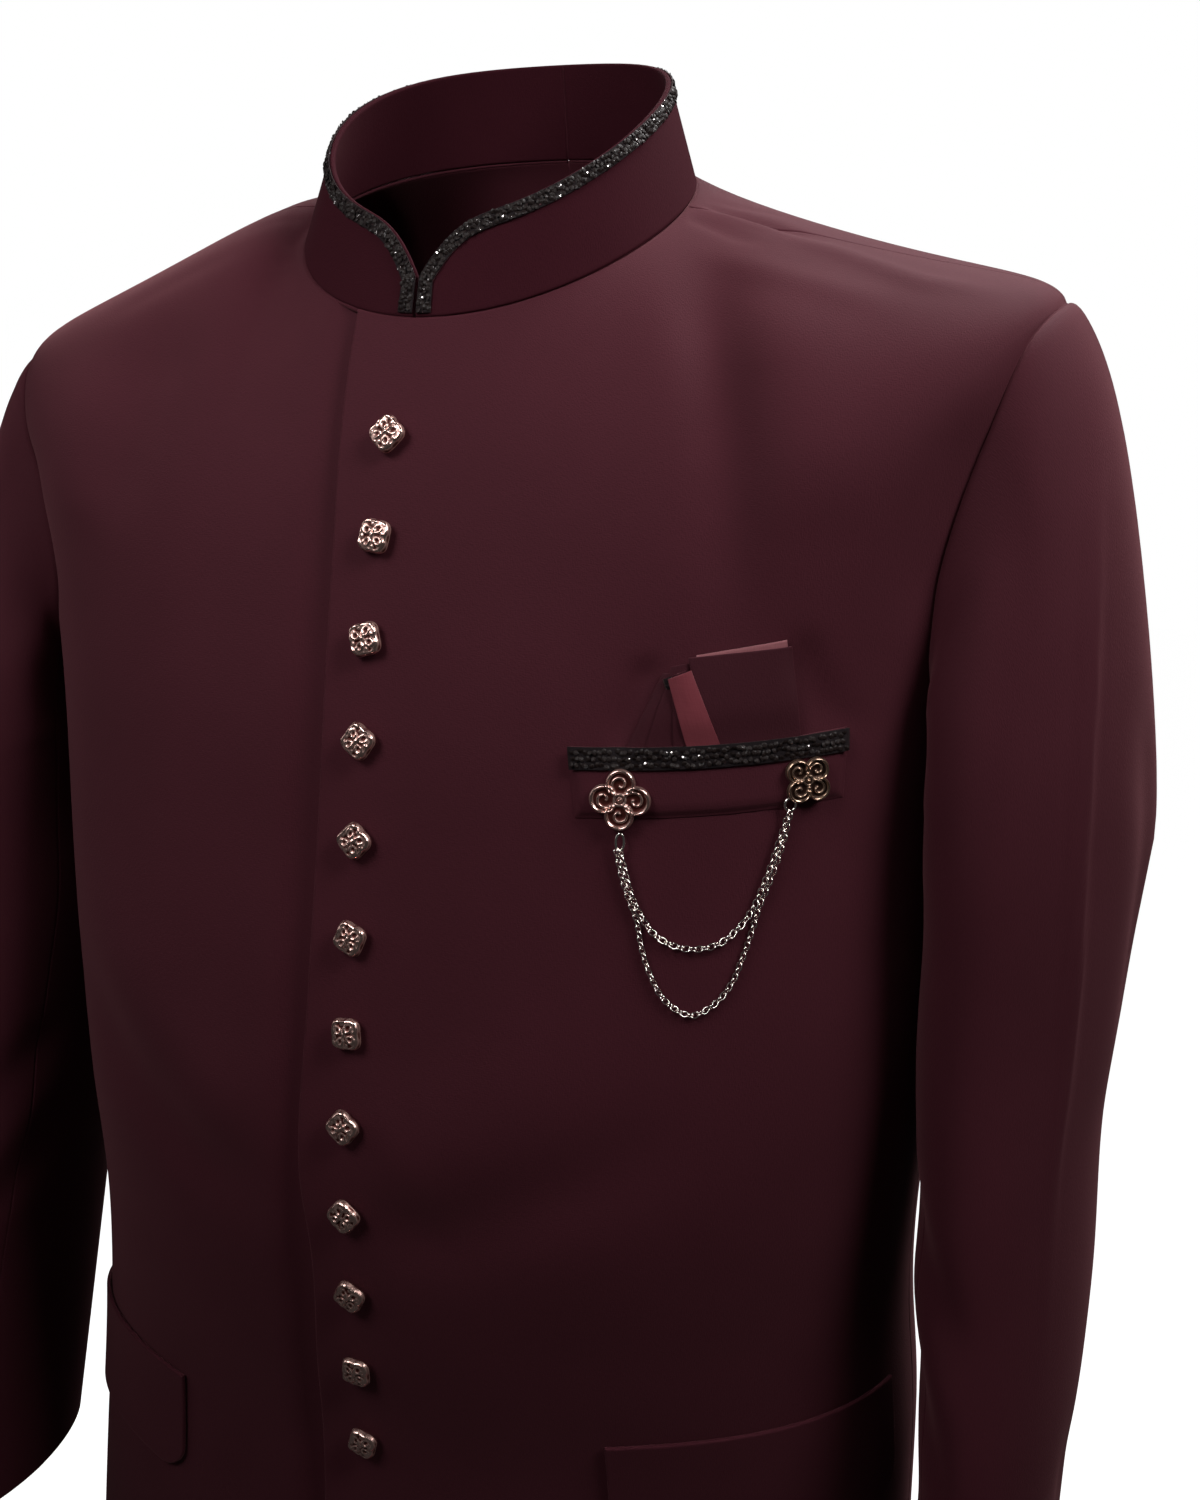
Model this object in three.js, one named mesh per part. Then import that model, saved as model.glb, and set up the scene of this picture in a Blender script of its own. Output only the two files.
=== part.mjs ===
// Bandhgala jacket: a closed-neck coat with a stand collar, hollow and in its worn shape.
// Millimetres, +Z up, +X to the wearer's left, -Y to the front. The origin is at the base of the
// neck, midway between the points where the two shoulder seams meet the collar.
import * as THREE from "three";

// Cloth
const CLOTH = 2.0; // wall of the body and sleeves
const COLLAR_WALL = 3.0;
const SEAM_GAP = 0.3; // between two pieces that are sewn together
const LAY_GAP = 0.3; // under a piece that lies on another

// Body, from the hem to the chest: half width, front and back depth and squareness of each section
const HEM_Z = -750;
const CHEST_Z = -245;
const BODY_CENTRE_Y = 8;
const BODY_SECTIONS = [
  { z: -750, halfWidth: 222, front: -118, back: 132, square: 2.3 },
  { z: -620, halfWidth: 212, front: -113, back: 124, square: 2.3 },
  { z: -540, halfWidth: 204, front: -112, back: 116, square: 2.3 },
  { z: -470, halfWidth: 196, front: -120, back: 111, square: 2.35 },
  { z: -400, halfWidth: 197, front: -126, back: 113, square: 2.45 },
  { z: -330, halfWidth: 202, front: -121, back: 118, square: 2.5 },
  { z: -245, halfWidth: 206, front: -113, back: 122, square: 2.5 },
];

// Yoke, from the chest up to the neck seam: how far each line leaves the neck and the chest
const YOKE = {
  neck: { front: 62, side: 650, back: 60 },
  chest: { front: 180, side: 790, back: 170 },
  fall: { front: 2.7, side: 0.27, back: 1.3 },
  sidePower: 3.0,
  fallPower: 2.4,
};
const NECK_RISE = { height: 1.5, at: 0.06 }; // the shoulder swells a little beside the collar
const RIGHT_SHOULDER_DROP = 24; // the right shoulder hangs lower
const DROP_FROM_X = 82;
const DROP_OVER_X = 146;
const DROP_POWER = 1.6;
const RIGHT_RISE = { height: 7, at: 0.2 }; // and is fuller beside the neck
const DROP_FADE = { fromZ: -330, overZ: 200 };

// Neck seam and upper edge of the collar: rings that are low in front and high behind
const NECK = { halfWidth: 82.1, depth: 74, centreY: 1.4, frontZ: -65.1, sideZ: -18.5, backZ: 10.2 };
const COLLAR_TOP = { halfWidth: 69.3, depth: 65.9, centreY: 1, frontZ: -29.7, sideZ: 20.2, backZ: 48.9 };
const COLLAR_NOTCH = 0.4; // share of the collar's height at which the V begins
const COLLAR_ROUND = THREE.MathUtils.degToRad(24); // how far the rounded corner of the V runs
const COLLAR_ROUND_POWER = 4.5;
const COLLAR_ROWS = 4;
const TRIM_WIDTH = 5.6;
const TRIM_INSET = 1.4; // rolled edge left plain above the beads
const TRIM_WALL = 1.0;
const TRIM_STEPS = 36;
const TRIM_CORNER = 0.12; // share of the steps on the straight front edge
const TRIM_EASE = 1.9; // steps crowd towards the V

// Armholes: how far up to the shoulder point each row lies, and how far it cuts into the front
const SHOULDER_AT = 0.51;
const ARMHOLE = [
  { up: 0, cut: 0 },
  { up: 0.02, cut: 9.5 },
  { up: 0.075, cut: 16.5 },
  { up: 0.145, cut: 21.8 },
  { up: 0.23, cut: 25 },
  { up: 0.33, cut: 25.4 },
  { up: 0.44, cut: 24.4 },
  { up: 0.56, cut: 22.4 },
  { up: 0.68, cut: 20 },
  { up: 0.79, cut: 18 },
  { up: 0.89, cut: 15.4 },
  { up: 0.97, cut: 12 },
  { up: 1, cut: 6.8 },
  { up: 1, cut: 0 },
];
const BACK_CUT = 0.84; // the same in the back, as a share of the front's

// Front edges: the left front laps over the right one
const OVERLAP = [
  { z: -750, x: 24 },
  { z: -500, x: 23 },
  { z: -440, x: 20.5 },
  { z: -395, x: 24 },
  { z: -320, x: 21.5 },
  { z: -240, x: 19.5 },
  { z: -160, x: 20.5 },
  { z: -105, x: 24 },
  { z: -65, x: 26 },
];
const UNDERLAP = 22;
const SINK = { fromX: 47, toX: 27, extra: 0.2 }; // where the right front dips to run on beneath

// Heights of the rows of points below the chest, closer together where the body curves in
const ROW_HEIGHTS = [-750, -690, -640, -600, -565, -530, -495, -460, -415, -365, -305];
const SHOULDER_ROWS = 5;
const ARMHOLE_TOP = 0.6; // how high up the centre line the rows of the armhole reach
const BODY_COLUMNS = 13;

// Sleeves: centre, half widths and turn (degrees) of each section
const CUFF_Z = -650;
const BICEP_Z = -262;
const SLEEVE_SECTIONS = [
  { z: -650, x: 253, y: -64, across: 27, along: 56, turn: 5 },
  { z: -520, x: 250, y: -37, across: 27, along: 60, turn: 6 },
  { z: -490, x: 249, y: -31, across: 28.5, along: 61, turn: 8 },
  { z: -436, x: 246, y: -20, across: 31, along: 63, turn: 10 },
  { z: -372, x: 241, y: -10, across: 32, along: 66, turn: 12 },
  { z: -330, x: 241, y: -4, across: 34, along: 70, turn: 15 },
  { z: -262, x: 243, y: -1, across: 34, along: 76, turn: 17 },
];
const CAP_STEPS = [0, 0.1, 0.24, 0.4, 0.58, 0.78, 1];
const ARM_ROWS = 7;
const CAP_OUT = { under: 36, top: 85 }; // how far the cap carries on outwards before it falls
const CAP_DOWN = { under: 45, top: 185 };
const CAP_WAY = { out: 0.88, swing: 0.42, lowSwing: 0.45, underFall: 0.45, topFall: 0.3 };
const SLEEVE_SEAMS = { front: 3, back: 22 }; // steps round the sleeve from its inner line

// Breast pocket, by the height of its upper edge at both ends
const WELT = { fromX: 80.5, toX: 174.5, fromZ: -215, toZ: -204.5, sag: 1.6, height: 26, slant: 4 };
const WELT_WALL = 1.6;
const POCKET_TRIM = { width: 8.4, wall: 1.1 };
const SQUARE = { fromX: 103, toX: 159, top: 33, wall: 2.6 };

// Pocket flaps on the hips
const FLAP = { fromX: 103, width: 150, height: 55, wall: 2.0, corner: 16, lift: 0.6 };
const FLAP_Z = { left: { front: -504, back: -495 }, right: { front: -534, back: -543 } };
const FLAP_ARCH = 5;

// Buttons down the centre front
const BUTTON_COUNT = 12;
const FIRST_BUTTON_Z = -108.6;
const BUTTON_PITCH = 38.4;
const BUTTON_X = -1.8;
const BUTTON_SIDES = 12;
const BUTTON_RADIUS = 7.6;
const BUTTON_LOBE = 0.07; // how far the four lobes stand out
const BUTTON_PROFILE = [
  { r: 0.3, h: 0 },
  { r: 0.34, h: 1.3 },
  { r: 0.88, h: 1.7 },
  { r: 1.0, h: 3.0 },
  { r: 0.86, h: 4.6 },
  { r: 0.45, h: 5.9 },
];
const BUTTON_TOP = 6.3;
const BUTTON_LIFT = 0.3;

// Brooches, the rings that hang from them and the chains between the rings
const BROOCH_PLATE = 1.6;
const BROOCH_BEVEL = 0.5;
const BROOCHES = {
  left: { x: 100, z: -233.5, lobe: 4.9, reach: 5.5 },
  right: { x: 163, z: -224.2, lobe: 3.6, reach: 3.9 },
};
const RING = { radius: 2.0, wire: 0.55 };
const RING_PLACES = { left: { x: 101.2, z: -247.2 }, right: { x: 158.2, z: -233.1 } };
const CHAINS = [
  { name: "chain_upper", radius: 1.4, sag: 42, apart: -1.6 },
  { name: "chain_lower", radius: 1.1, sag: 69, apart: 1.6 },
];

// Surface of the cloth

function hermite(t, a, b, slopeA, slopeB) {
  const t2 = t * t;
  const t3 = t2 * t;
  const fromA = (2 * t3 - 3 * t2 + 1) * a + (t3 - 2 * t2 + t) * slopeA;
  return fromA + (3 * t2 - 2 * t3) * b + (t3 - t2) * slopeB;
}

function tableSlope(rows, column, i) {
  const low = rows[Math.max(i - 1, 0)];
  const high = rows[Math.min(i + 1, rows.length - 1)];
  return (high[column] - low[column]) / (high.z - low.z);
}

function readTable(rows, column, z) {
  let i = 0;
  while (i < rows.length - 2 && z > rows[i + 1].z) i += 1;
  const span = rows[i + 1].z - rows[i].z;
  const slopes = [tableSlope(rows, column, i), tableSlope(rows, column, i + 1)];
  const t = (z - rows[i].z) / span;
  return hermite(t, rows[i][column], rows[i + 1][column], span * slopes[0], span * slopes[1]);
}

// Level section of the body at height z. The angle runs from the centre front (0) to the centre
// back (half a turn).
function bodySection(angle, z) {
  const s = Math.sin(angle);
  const c = Math.cos(angle);
  const square = readTable(BODY_SECTIONS, "square", z);
  const q = (Math.abs(s) ** square + Math.abs(c) ** square) ** (-1 / square);
  const reach = c > 0
    ? BODY_CENTRE_Y - readTable(BODY_SECTIONS, "front", z)
    : readTable(BODY_SECTIONS, "back", z) - BODY_CENTRE_Y;
  const halfWidth = readTable(BODY_SECTIONS, "halfWidth", z);
  return new THREE.Vector3(halfWidth * s * q, BODY_CENTRE_Y - reach * c * q, z);
}

function neckRing(ring, angle) {
  const middle = (ring.frontZ + ring.backZ) / 2;
  const level = (middle + ring.sideZ) / 2;
  const tilt = (ring.frontZ - ring.backZ) / 2;
  const bow = (middle - ring.sideZ) / 2;
  return new THREE.Vector3(
    ring.halfWidth * Math.sin(angle),
    ring.centreY - ring.depth * Math.cos(angle),
    level + tilt * Math.cos(angle) + bow * Math.cos(2 * angle),
  );
}

// Shoulders and upper chest: t is 0 on the chest section and 1 on the neck seam
function yokePoint(angle, t) {
  const s = Math.sin(angle);
  const c = Math.cos(angle);
  const end = c > 0 ? "front" : "back";
  const side = Math.abs(s) ** YOKE.sidePower;
  const fallShare = Math.abs(c) ** YOKE.fallPower;
  const fall = YOKE.fall[end] * fallShare + YOKE.fall.side * (1 - fallShare);
  const neckPull = THREE.MathUtils.lerp(YOKE.neck[end], YOKE.neck.side, side);
  const chestPull = THREE.MathUtils.lerp(YOKE.chest[end], YOKE.chest.side, side);
  const neck = neckRing(NECK, angle);
  const chest = bodySection(angle, CHEST_Z);
  const below = bodySection(angle, CHEST_Z - 10);
  const up = chest.clone().sub(below).multiplyScalar(chestPull / 10);
  const inward = new THREE.Vector3(-s, c, fall).multiplyScalar(neckPull);
  const away = (1 - t) / NECK_RISE.at;
  return new THREE.Vector3(
    hermite(t, chest.x, neck.x, up.x, inward.x),
    hermite(t, chest.y, neck.y, up.y, inward.y),
    hermite(t, chest.z, neck.z, up.z, inward.z) + NECK_RISE.height * away * Math.exp(1 - away) * s ** 4,
  );
}

function smoothStep(value) {
  const t = THREE.MathUtils.clamp(value, 0, 1);
  return t * t * (3 - 2 * t);
}

// Turns a point of the left half into its place: side is 1 on the left and -1 on the right
function toSide(side, point) {
  if (side > 0) return point;
  const out = THREE.MathUtils.clamp((Math.abs(point.x) - DROP_FROM_X) / DROP_OVER_X, 0, 1.15);
  const fade = smoothStep((point.z - DROP_FADE.fromZ) / DROP_FADE.overZ);
  point.x = -point.x;
  const near = out / RIGHT_RISE.at;
  const rise = RIGHT_RISE.height * near * Math.exp(1 - near);
  point.z -= (RIGHT_SHOULDER_DROP * out ** DROP_POWER - rise) * fade;
  return point;
}

// v runs up the body: 0 at the hem, 1 at the chest and 2 at the neck seam
function bodyPoint(side, angle, v) {
  const point = v <= 1
    ? bodySection(angle, THREE.MathUtils.lerp(HEM_Z, CHEST_Z, v))
    : yokePoint(angle, Math.min(v - 1, 1));
  return toSide(side, point);
}

// Outward normal of any of these surfaces, by small steps along its two directions
function surfaceNormal(surface, a, b, outward) {
  const step = 1e-3;
  const alongA = surface(a + step, b).sub(surface(a - step, b));
  const alongB = surface(a, b + step).sub(surface(a, b - step));
  return alongA.cross(alongB).normalize().multiplyScalar(outward);
}

function bodyNormal(side, angle, v) {
  return surfaceNormal((a, b) => bodyPoint(side, a, b), angle, v, side);
}

// Finds the angle and v of the front at a given x and z
function locate(x, z) {
  let low = 0;
  let high = 1.9;
  let angle = 0;
  for (let i = 0; i < 40; i += 1) {
    const v = (low + high) / 2;
    angle = angleAt(x, v);
    if (bodyPoint(1, angle, v).z < z) low = v;
    else high = v;
  }
  return { angle, v: (low + high) / 2 };
}

function angleAt(x, v) {
  let low = -Math.PI / 2;
  let high = Math.PI / 2;
  for (let i = 0; i < 40; i += 1) {
    const middle = (low + high) / 2;
    if (bodyPoint(1, middle, v).x < x) low = middle;
    else high = middle;
  }
  return (low + high) / 2;
}

// Walls

// A closed wall from two grids of points, the outer face and the inner one
function wallGeometry(outer, inner, flip) {
  const rows = outer.length;
  const columns = outer[0].length;
  const positions = [];
  for (const grid of [outer, inner]) {
    for (const row of grid) for (const p of row) positions.push(p.x, p.y, p.z);
  }
  const index = [];
  const at = (layer, i, j) => layer * rows * columns + i * columns + j;
  const quad = (a, b, c, d) => {
    if (flip) index.push(a, c, b, a, d, c);
    else index.push(a, b, c, a, c, d);
  };
  for (let i = 0; i < rows - 1; i += 1) {
    for (let j = 0; j < columns - 1; j += 1) {
      quad(at(0, i, j), at(0, i, j + 1), at(0, i + 1, j + 1), at(0, i + 1, j));
      quad(at(1, i, j), at(1, i + 1, j), at(1, i + 1, j + 1), at(1, i, j + 1));
    }
  }
  for (let j = 0; j < columns - 1; j += 1) {
    quad(at(1, 0, j), at(1, 0, j + 1), at(0, 0, j + 1), at(0, 0, j));
    quad(at(0, rows - 1, j), at(0, rows - 1, j + 1), at(1, rows - 1, j + 1), at(1, rows - 1, j));
  }
  for (let i = 0; i < rows - 1; i += 1) {
    quad(at(0, i, 0), at(0, i + 1, 0), at(1, i + 1, 0), at(1, i, 0));
    quad(at(1, i, columns - 1), at(1, i + 1, columns - 1), at(0, i + 1, columns - 1), at(0, i, columns - 1));
  }
  const geometry = new THREE.BufferGeometry();
  geometry.setAttribute("position", new THREE.Float32BufferAttribute(positions, 3));
  geometry.setIndex(index);
  geometry.computeVertexNormals();
  return geometry;
}

// Draws the border of a grid back from the seam by half the seam gap
function drawBack(grid, distance) {
  const rows = grid.length;
  const columns = grid[0].length;
  const pull = (point, towards) => {
    const way = towards.clone().sub(point).normalize();
    point.addScaledVector(way, distance);
  };
  for (let i = 0; i < rows; i += 1) {
    pull(grid[i][0], grid[i][1]);
    pull(grid[i][columns - 1], grid[i][columns - 2]);
  }
  for (let j = 0; j < columns; j += 1) {
    pull(grid[0][j], grid[1][j]);
    pull(grid[rows - 1][j], grid[rows - 2][j]);
  }
}

function offsetGrid(points, normals, distance) {
  return points.map((row, i) => row.map((p, j) => p.clone().addScaledVector(normals[i][j], distance)));
}

// A wall that lies on a surface: samples holds the point and normal of each grid place
function layeredWall(samples, lift, wall, flip) {
  const points = samples.map((row) => row.map((sample) => sample.point));
  const normals = samples.map((row) => row.map((sample) => sample.normal));
  return wallGeometry(offsetGrid(points, normals, lift + wall), offsetGrid(points, normals, lift), flip);
}

function evenSteps(from, to, count) {
  return Array.from({ length: count + 1 }, (_, i) => THREE.MathUtils.lerp(from, to, i / count));
}

// Fronts and backs

// Rows of the panels from the hem to the neck: v at the centre and at the side, and the cut of the
// armhole there
const ARMHOLE_ROWS = ARMHOLE.map(({ up, cut }, i) => ({
  centre: 1 + (ARMHOLE_TOP * i) / (ARMHOLE.length - 1),
  side: 1 + SHOULDER_AT * up,
  cut,
}));
const BODY_ROWS = [
  ...ROW_HEIGHTS.map((z) => (z - HEM_Z) / (CHEST_Z - HEM_Z)).map((v) => ({ centre: v, side: v, cut: 0 })),
  ...ARMHOLE_ROWS,
  ...evenSteps(0, 1, SHOULDER_ROWS).slice(1).map((share) => ({
    centre: THREE.MathUtils.lerp(1 + ARMHOLE_TOP, 2, share),
    side: THREE.MathUtils.lerp(1 + SHOULDER_AT, 2, share),
    cut: 0,
  })),
];

// The right front sinks under the left one near the centre
function sink(x) {
  const share = (SINK.fromX - Math.abs(Math.min(x, 0))) / (SINK.fromX - SINK.toX);
  return (CLOTH + LAY_GAP + SINK.extra) * smoothStep(share);
}

// Angle at which a row of a panel ends: the side seam, the armhole or the shoulder seam
function sideAngle(isFront, row) {
  const cut = THREE.MathUtils.degToRad(row.cut);
  return Math.PI / 2 + (isFront ? -cut : BACK_CUT * cut);
}

// Angle and v of the points of a row. A front has closer ones where the two fronts lap.
function panelPlaces(side, isFront, row) {
  const end = sideAngle(isFront, row);
  const start = isFront ? angleAt(SINK.fromX, row.centre) : Math.PI;
  const places = evenSteps(0, 1, isFront ? BODY_COLUMNS - 5 : BODY_COLUMNS).map((share) => ({
    angle: THREE.MathUtils.lerp(start, end, share),
    v: THREE.MathUtils.lerp(row.centre, row.side, share),
  }));
  if (!isFront) return places;
  const middle = bodyPoint(1, 0, row.centre).z;
  const lap = side > 0 ? readTable(OVERLAP, "x", middle) : UNDERLAP;
  const near = [-lap, -lap / 2, 0, SINK.toX / 2, SINK.toX];
  return [...near.map((x) => ({ angle: angleAt(x, row.centre), v: row.centre })), ...places];
}

function bodyPanel(side, isFront) {
  const places = BODY_ROWS.map((row) => panelPlaces(side, isFront, row));
  const points = places.map((row) => row.map(({ angle, v }) => bodyPoint(side, angle, v)));
  const normals = places.map((row) => row.map(({ angle, v }) => bodyNormal(side, angle, v)));
  drawBack(points, SEAM_GAP / 2);
  if (isFront && side < 0) {
    points.forEach((row, i) => row.forEach((p, j) => p.addScaledVector(normals[i][j], -sink(p.x))));
  }
  const inner = offsetGrid(points, normals, -CLOTH);
  return wallGeometry(points, inner, (side > 0) !== isFront);
}

// Sleeves

function sleeveSection(turn, z) {
  const read = (column) => readTable(SLEEVE_SECTIONS, column, z);
  const twist = THREE.MathUtils.degToRad(read("turn"));
  const x = -read("across") * Math.cos(turn);
  const y = -read("along") * Math.sin(turn);
  return new THREE.Vector3(
    read("x") + x * Math.cos(twist) + y * Math.sin(twist),
    read("y") - x * Math.sin(twist) + y * Math.cos(twist),
    z,
  );
}

// Points of one half of the armhole, at the panels' own rows, and how far round the sleeve each lies
function armholeHalf(isFront) {
  const half = ARMHOLE_ROWS.map((row) => ({ point: bodyPoint(1, sideAngle(isFront, row), row.side) }));
  let length = 0;
  half.forEach((here, i) => {
    if (i > 0) length += here.point.distanceTo(half[i - 1].point);
    here.length = length;
  });
  for (const here of half) {
    const share = (Math.PI * here.length) / length;
    here.turn = isFront ? share : 2 * Math.PI - share;
  }
  return half;
}

const ARMHOLE_LOOP = [...armholeHalf(true), ...armholeHalf(false).slice(1, -1).reverse()];
const SLEEVE_STEPS = ARMHOLE_LOOP.length;

// Start of the sleeve at a step of the armhole, and the way it leaves the seam: outwards, and low
// down also to the front and back
function sleeveStart(step) {
  const { point, turn } = ARMHOLE_LOOP[step];
  const rise = (1 - Math.cos(turn)) / 2;
  const fall = THREE.MathUtils.lerp(CAP_WAY.underFall, CAP_WAY.topFall, rise);
  const swing = CAP_WAY.swing + CAP_WAY.lowSwing * (1 - rise);
  const out = CAP_WAY.out - CAP_WAY.lowSwing * (1 - rise) * Math.abs(Math.sin(turn));
  const way = new THREE.Vector3(out, -swing * Math.sin(turn), -fall).normalize();
  return { point: point.clone().addScaledVector(way, SEAM_GAP), way, turn, rise };
}

function sleeveCapPoint(start, t) {
  const end = sleeveSection(start.turn, BICEP_Z);
  const reach = THREE.MathUtils.lerp(CAP_OUT.under, CAP_OUT.top, start.rise);
  const out = start.way.clone().multiplyScalar(reach);
  const down = -THREE.MathUtils.lerp(CAP_DOWN.under, CAP_DOWN.top, start.rise);
  return new THREE.Vector3(
    hermite(t, start.point.x, end.x, out.x, 0),
    hermite(t, start.point.y, end.y, out.y, 0),
    hermite(t, start.point.z, end.z, out.z, down),
  );
}

const ARM_HEIGHTS = evenSteps(BICEP_Z, CUFF_Z, ARM_ROWS).slice(1);

function sleeveColumn(step) {
  const start = sleeveStart(step);
  const cap = CAP_STEPS.map((t) => sleeveCapPoint(start, t));
  const arm = ARM_HEIGHTS.map((z) => sleeveSection(start.turn, z));
  return [...cap, ...arm];
}

const SLEEVE_COLUMNS = Array.from({ length: SLEEVE_STEPS }, (_, step) => sleeveColumn(step));

function sleeveNormal(step, i) {
  const here = SLEEVE_COLUMNS[step];
  const before = SLEEVE_COLUMNS[(step + SLEEVE_STEPS - 1) % SLEEVE_STEPS];
  const after = SLEEVE_COLUMNS[(step + 1) % SLEEVE_STEPS];
  const down = here[Math.min(i + 1, here.length - 1)].clone().sub(here[Math.max(i - 1, 0)]);
  return down.cross(after[i].clone().sub(before[i])).normalize();
}

// Steps round the sleeve that belong to a piece
function sleevePiece(side, fromStep, toStep) {
  const steps = Array.from({ length: toStep - fromStep + 1 }, (_, i) => (fromStep + i) % SLEEVE_STEPS);
  const points = SLEEVE_COLUMNS[0].map((_, i) => steps.map((step) => SLEEVE_COLUMNS[step][i].clone()));
  const normals = SLEEVE_COLUMNS[0].map((_, i) => steps.map((step) => sleeveNormal(step, i)));
  drawBack(points, SEAM_GAP / 2);
  const inner = offsetGrid(points, normals, -CLOTH);
  for (const grid of [points, inner]) for (const row of grid) for (const p of row) toSide(side, p);
  return wallGeometry(points, inner, side > 0);
}

// Collar

function collarHeight(angle) {
  const away = Math.min(Math.abs(angle) / COLLAR_ROUND, 1);
  return COLLAR_NOTCH + (1 - COLLAR_NOTCH) * (1 - (1 - away) ** COLLAR_ROUND_POWER);
}

// Point of the collar at a share h of its full height, just above the neck seam
function collarPoint(angle, h) {
  const seam = neckRing(NECK, angle);
  seam.z += SEAM_GAP;
  return seam.lerp(neckRing(COLLAR_TOP, angle), h);
}

function collarNormal(angle, h) {
  return surfaceNormal(collarPoint, angle, h, 1);
}

function collarSample(angle, h) {
  return { point: collarPoint(angle, h), normal: collarNormal(angle, h) };
}

const COLLAR_END = 0.004; // half the opening at the front, in radians
const COLLAR_BACK = Math.PI - SEAM_GAP / 2 / NECK.depth;

// The collar has the panels' own columns round the neck, and closer ones at the V
function collarAngles() {
  const neck = BODY_ROWS.at(-1);
  const front = panelPlaces(1, true, neck).map(({ angle }) => angle).filter((angle) => angle > 0.02);
  const back = panelPlaces(1, false, neck).map(({ angle }) => angle).slice(1, -1).reverse();
  const corner = [COLLAR_END, 0.025, 0.055, 0.095].filter((angle) => angle < front[0]);
  return [...corner, ...front, ...back, COLLAR_BACK];
}

function collarHalf(side) {
  const samples = evenSteps(0, 1, COLLAR_ROWS).map((row) => (
    collarAngles().map((angle) => collarSample(side * angle, row * collarHeight(angle)))
  ));
  return layeredWall(samples, -COLLAR_WALL, COLLAR_WALL, side < 0);
}

// Edge of the collar from the seam up the V and round to the centre back, as angle and height
function collarEdge(t) {
  if (t < TRIM_CORNER) return { angle: COLLAR_END, h: (COLLAR_NOTCH * t) / TRIM_CORNER };
  const along = (t - TRIM_CORNER) / (1 - TRIM_CORNER);
  const angle = THREE.MathUtils.lerp(COLLAR_END, COLLAR_BACK, along ** TRIM_EASE);
  return { angle, h: collarHeight(angle) };
}

// Same edge moved into the collar by a distance in millimetres
function collarInset(t, distance) {
  const step = 0.004;
  const here = collarEdge(t);
  const before = collarEdge(Math.max(t - step, 0));
  const after = collarEdge(Math.min(t + step, 1));
  const radius = NECK.halfWidth;
  const height = collarPoint(here.angle, 1).distanceTo(collarPoint(here.angle, 0));
  const along = new THREE.Vector2((after.angle - before.angle) * radius, (after.h - before.h) * height);
  along.normalize();
  const angle = here.angle + (along.y * distance) / radius;
  const h = here.h - (along.x * distance) / height;
  return { angle: Math.min(angle, COLLAR_BACK), h: Math.max(h, 0.01) };
}

function collarTrim(side) {
  const samples = [TRIM_INSET + TRIM_WIDTH, TRIM_INSET].map((distance) => (
    evenSteps(0.01, 1, TRIM_STEPS).map((t) => {
      const place = collarInset(t, distance);
      return collarSample(side * place.angle, place.h);
    })
  ));
  return layeredWall(samples, LAY_GAP, TRIM_WALL, side < 0);
}

// Pieces that lie on a front

function frontSample(side, x, z) {
  const place = locate(x, z);
  return { point: bodyPoint(side, place.angle, place.v), normal: bodyNormal(side, place.angle, place.v) };
}

function weltTop(share) {
  return THREE.MathUtils.lerp(WELT.fromZ, WELT.toZ, share) - WELT.sag * Math.sin(Math.PI * share);
}

// A band on the chest between two depths below the upper edge of the welt
function weltBand(top, bottom, lift, wall) {
  const samples = [bottom, (top + bottom) / 2, top].map((depth) => (
    evenSteps(0, 1, 10).map((share) => {
      const fromX = WELT.fromX + (WELT.slant * depth) / WELT.height;
      return frontSample(1, THREE.MathUtils.lerp(fromX, WELT.toX, share), weltTop(share) - depth);
    })
  ));
  return layeredWall(samples, lift, wall, false);
}

// Upper outline of the pocket square, as the height above the welt at a share of its width
function squareHeight(share) {
  const slope = Math.min(share / 0.36, 1);
  const corner = Math.min((1 - share) / 0.05, 1);
  return Math.min(2 + (SQUARE.top - 2) * slope, 8 + (SQUARE.top - 8) * corner);
}

function pocketSquare() {
  const samples = evenSteps(0, 1, 4).map((row) => (
    evenSteps(0, 1, 10).map((share) => {
      const x = THREE.MathUtils.lerp(SQUARE.fromX, SQUARE.toX, share);
      const weltShare = (x - WELT.fromX) / (WELT.toX - WELT.fromX);
      return frontSample(1, x, weltTop(weltShare) + SEAM_GAP + row * squareHeight(share));
    })
  ));
  return layeredWall(samples, LAY_GAP, SQUARE.wall, false);
}

// A hip flap with rounded lower corners: it starts at a given x and runs back along the side
function hipFlap(side, z) {
  const start = locate(FLAP.fromX, z.front).angle;
  const reach = FLAP.width / bodySection(Math.PI / 3, z.front).setZ(0).length();
  const samples = evenSteps(0, 1, 3).map((row) => (
    evenSteps(0, 1, 12).map((share) => {
      const end = Math.min(share, 1 - share) * FLAP.width;
      const round = FLAP.corner - Math.sqrt(FLAP.corner ** 2 - Math.max(FLAP.corner - end, 0) ** 2);
      const top = THREE.MathUtils.lerp(z.front, z.back, share) + FLAP_ARCH * Math.sin(Math.PI * share);
      const v = (top - (1 - row) * (FLAP.height - round) - HEM_Z) / (CHEST_Z - HEM_Z);
      const angle = start + reach * share;
      return { point: bodyPoint(side, angle, v), normal: bodyNormal(side, angle, v) };
    })
  ));
  return layeredWall(samples, FLAP.lift, FLAP.wall, side < 0);
}

// A hard piece set on the left front: its own z axis stands out from the cloth
function standOn(mesh, x, z, lift) {
  const { point, normal } = frontSample(1, x, z);
  const right = new THREE.Vector3(0, 0, 1).cross(normal).normalize();
  const up = normal.clone().cross(right);
  mesh.quaternion.setFromRotationMatrix(new THREE.Matrix4().makeBasis(right, up, normal));
  mesh.position.copy(point).addScaledVector(normal, lift);
  return mesh;
}

// Buttons

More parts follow.
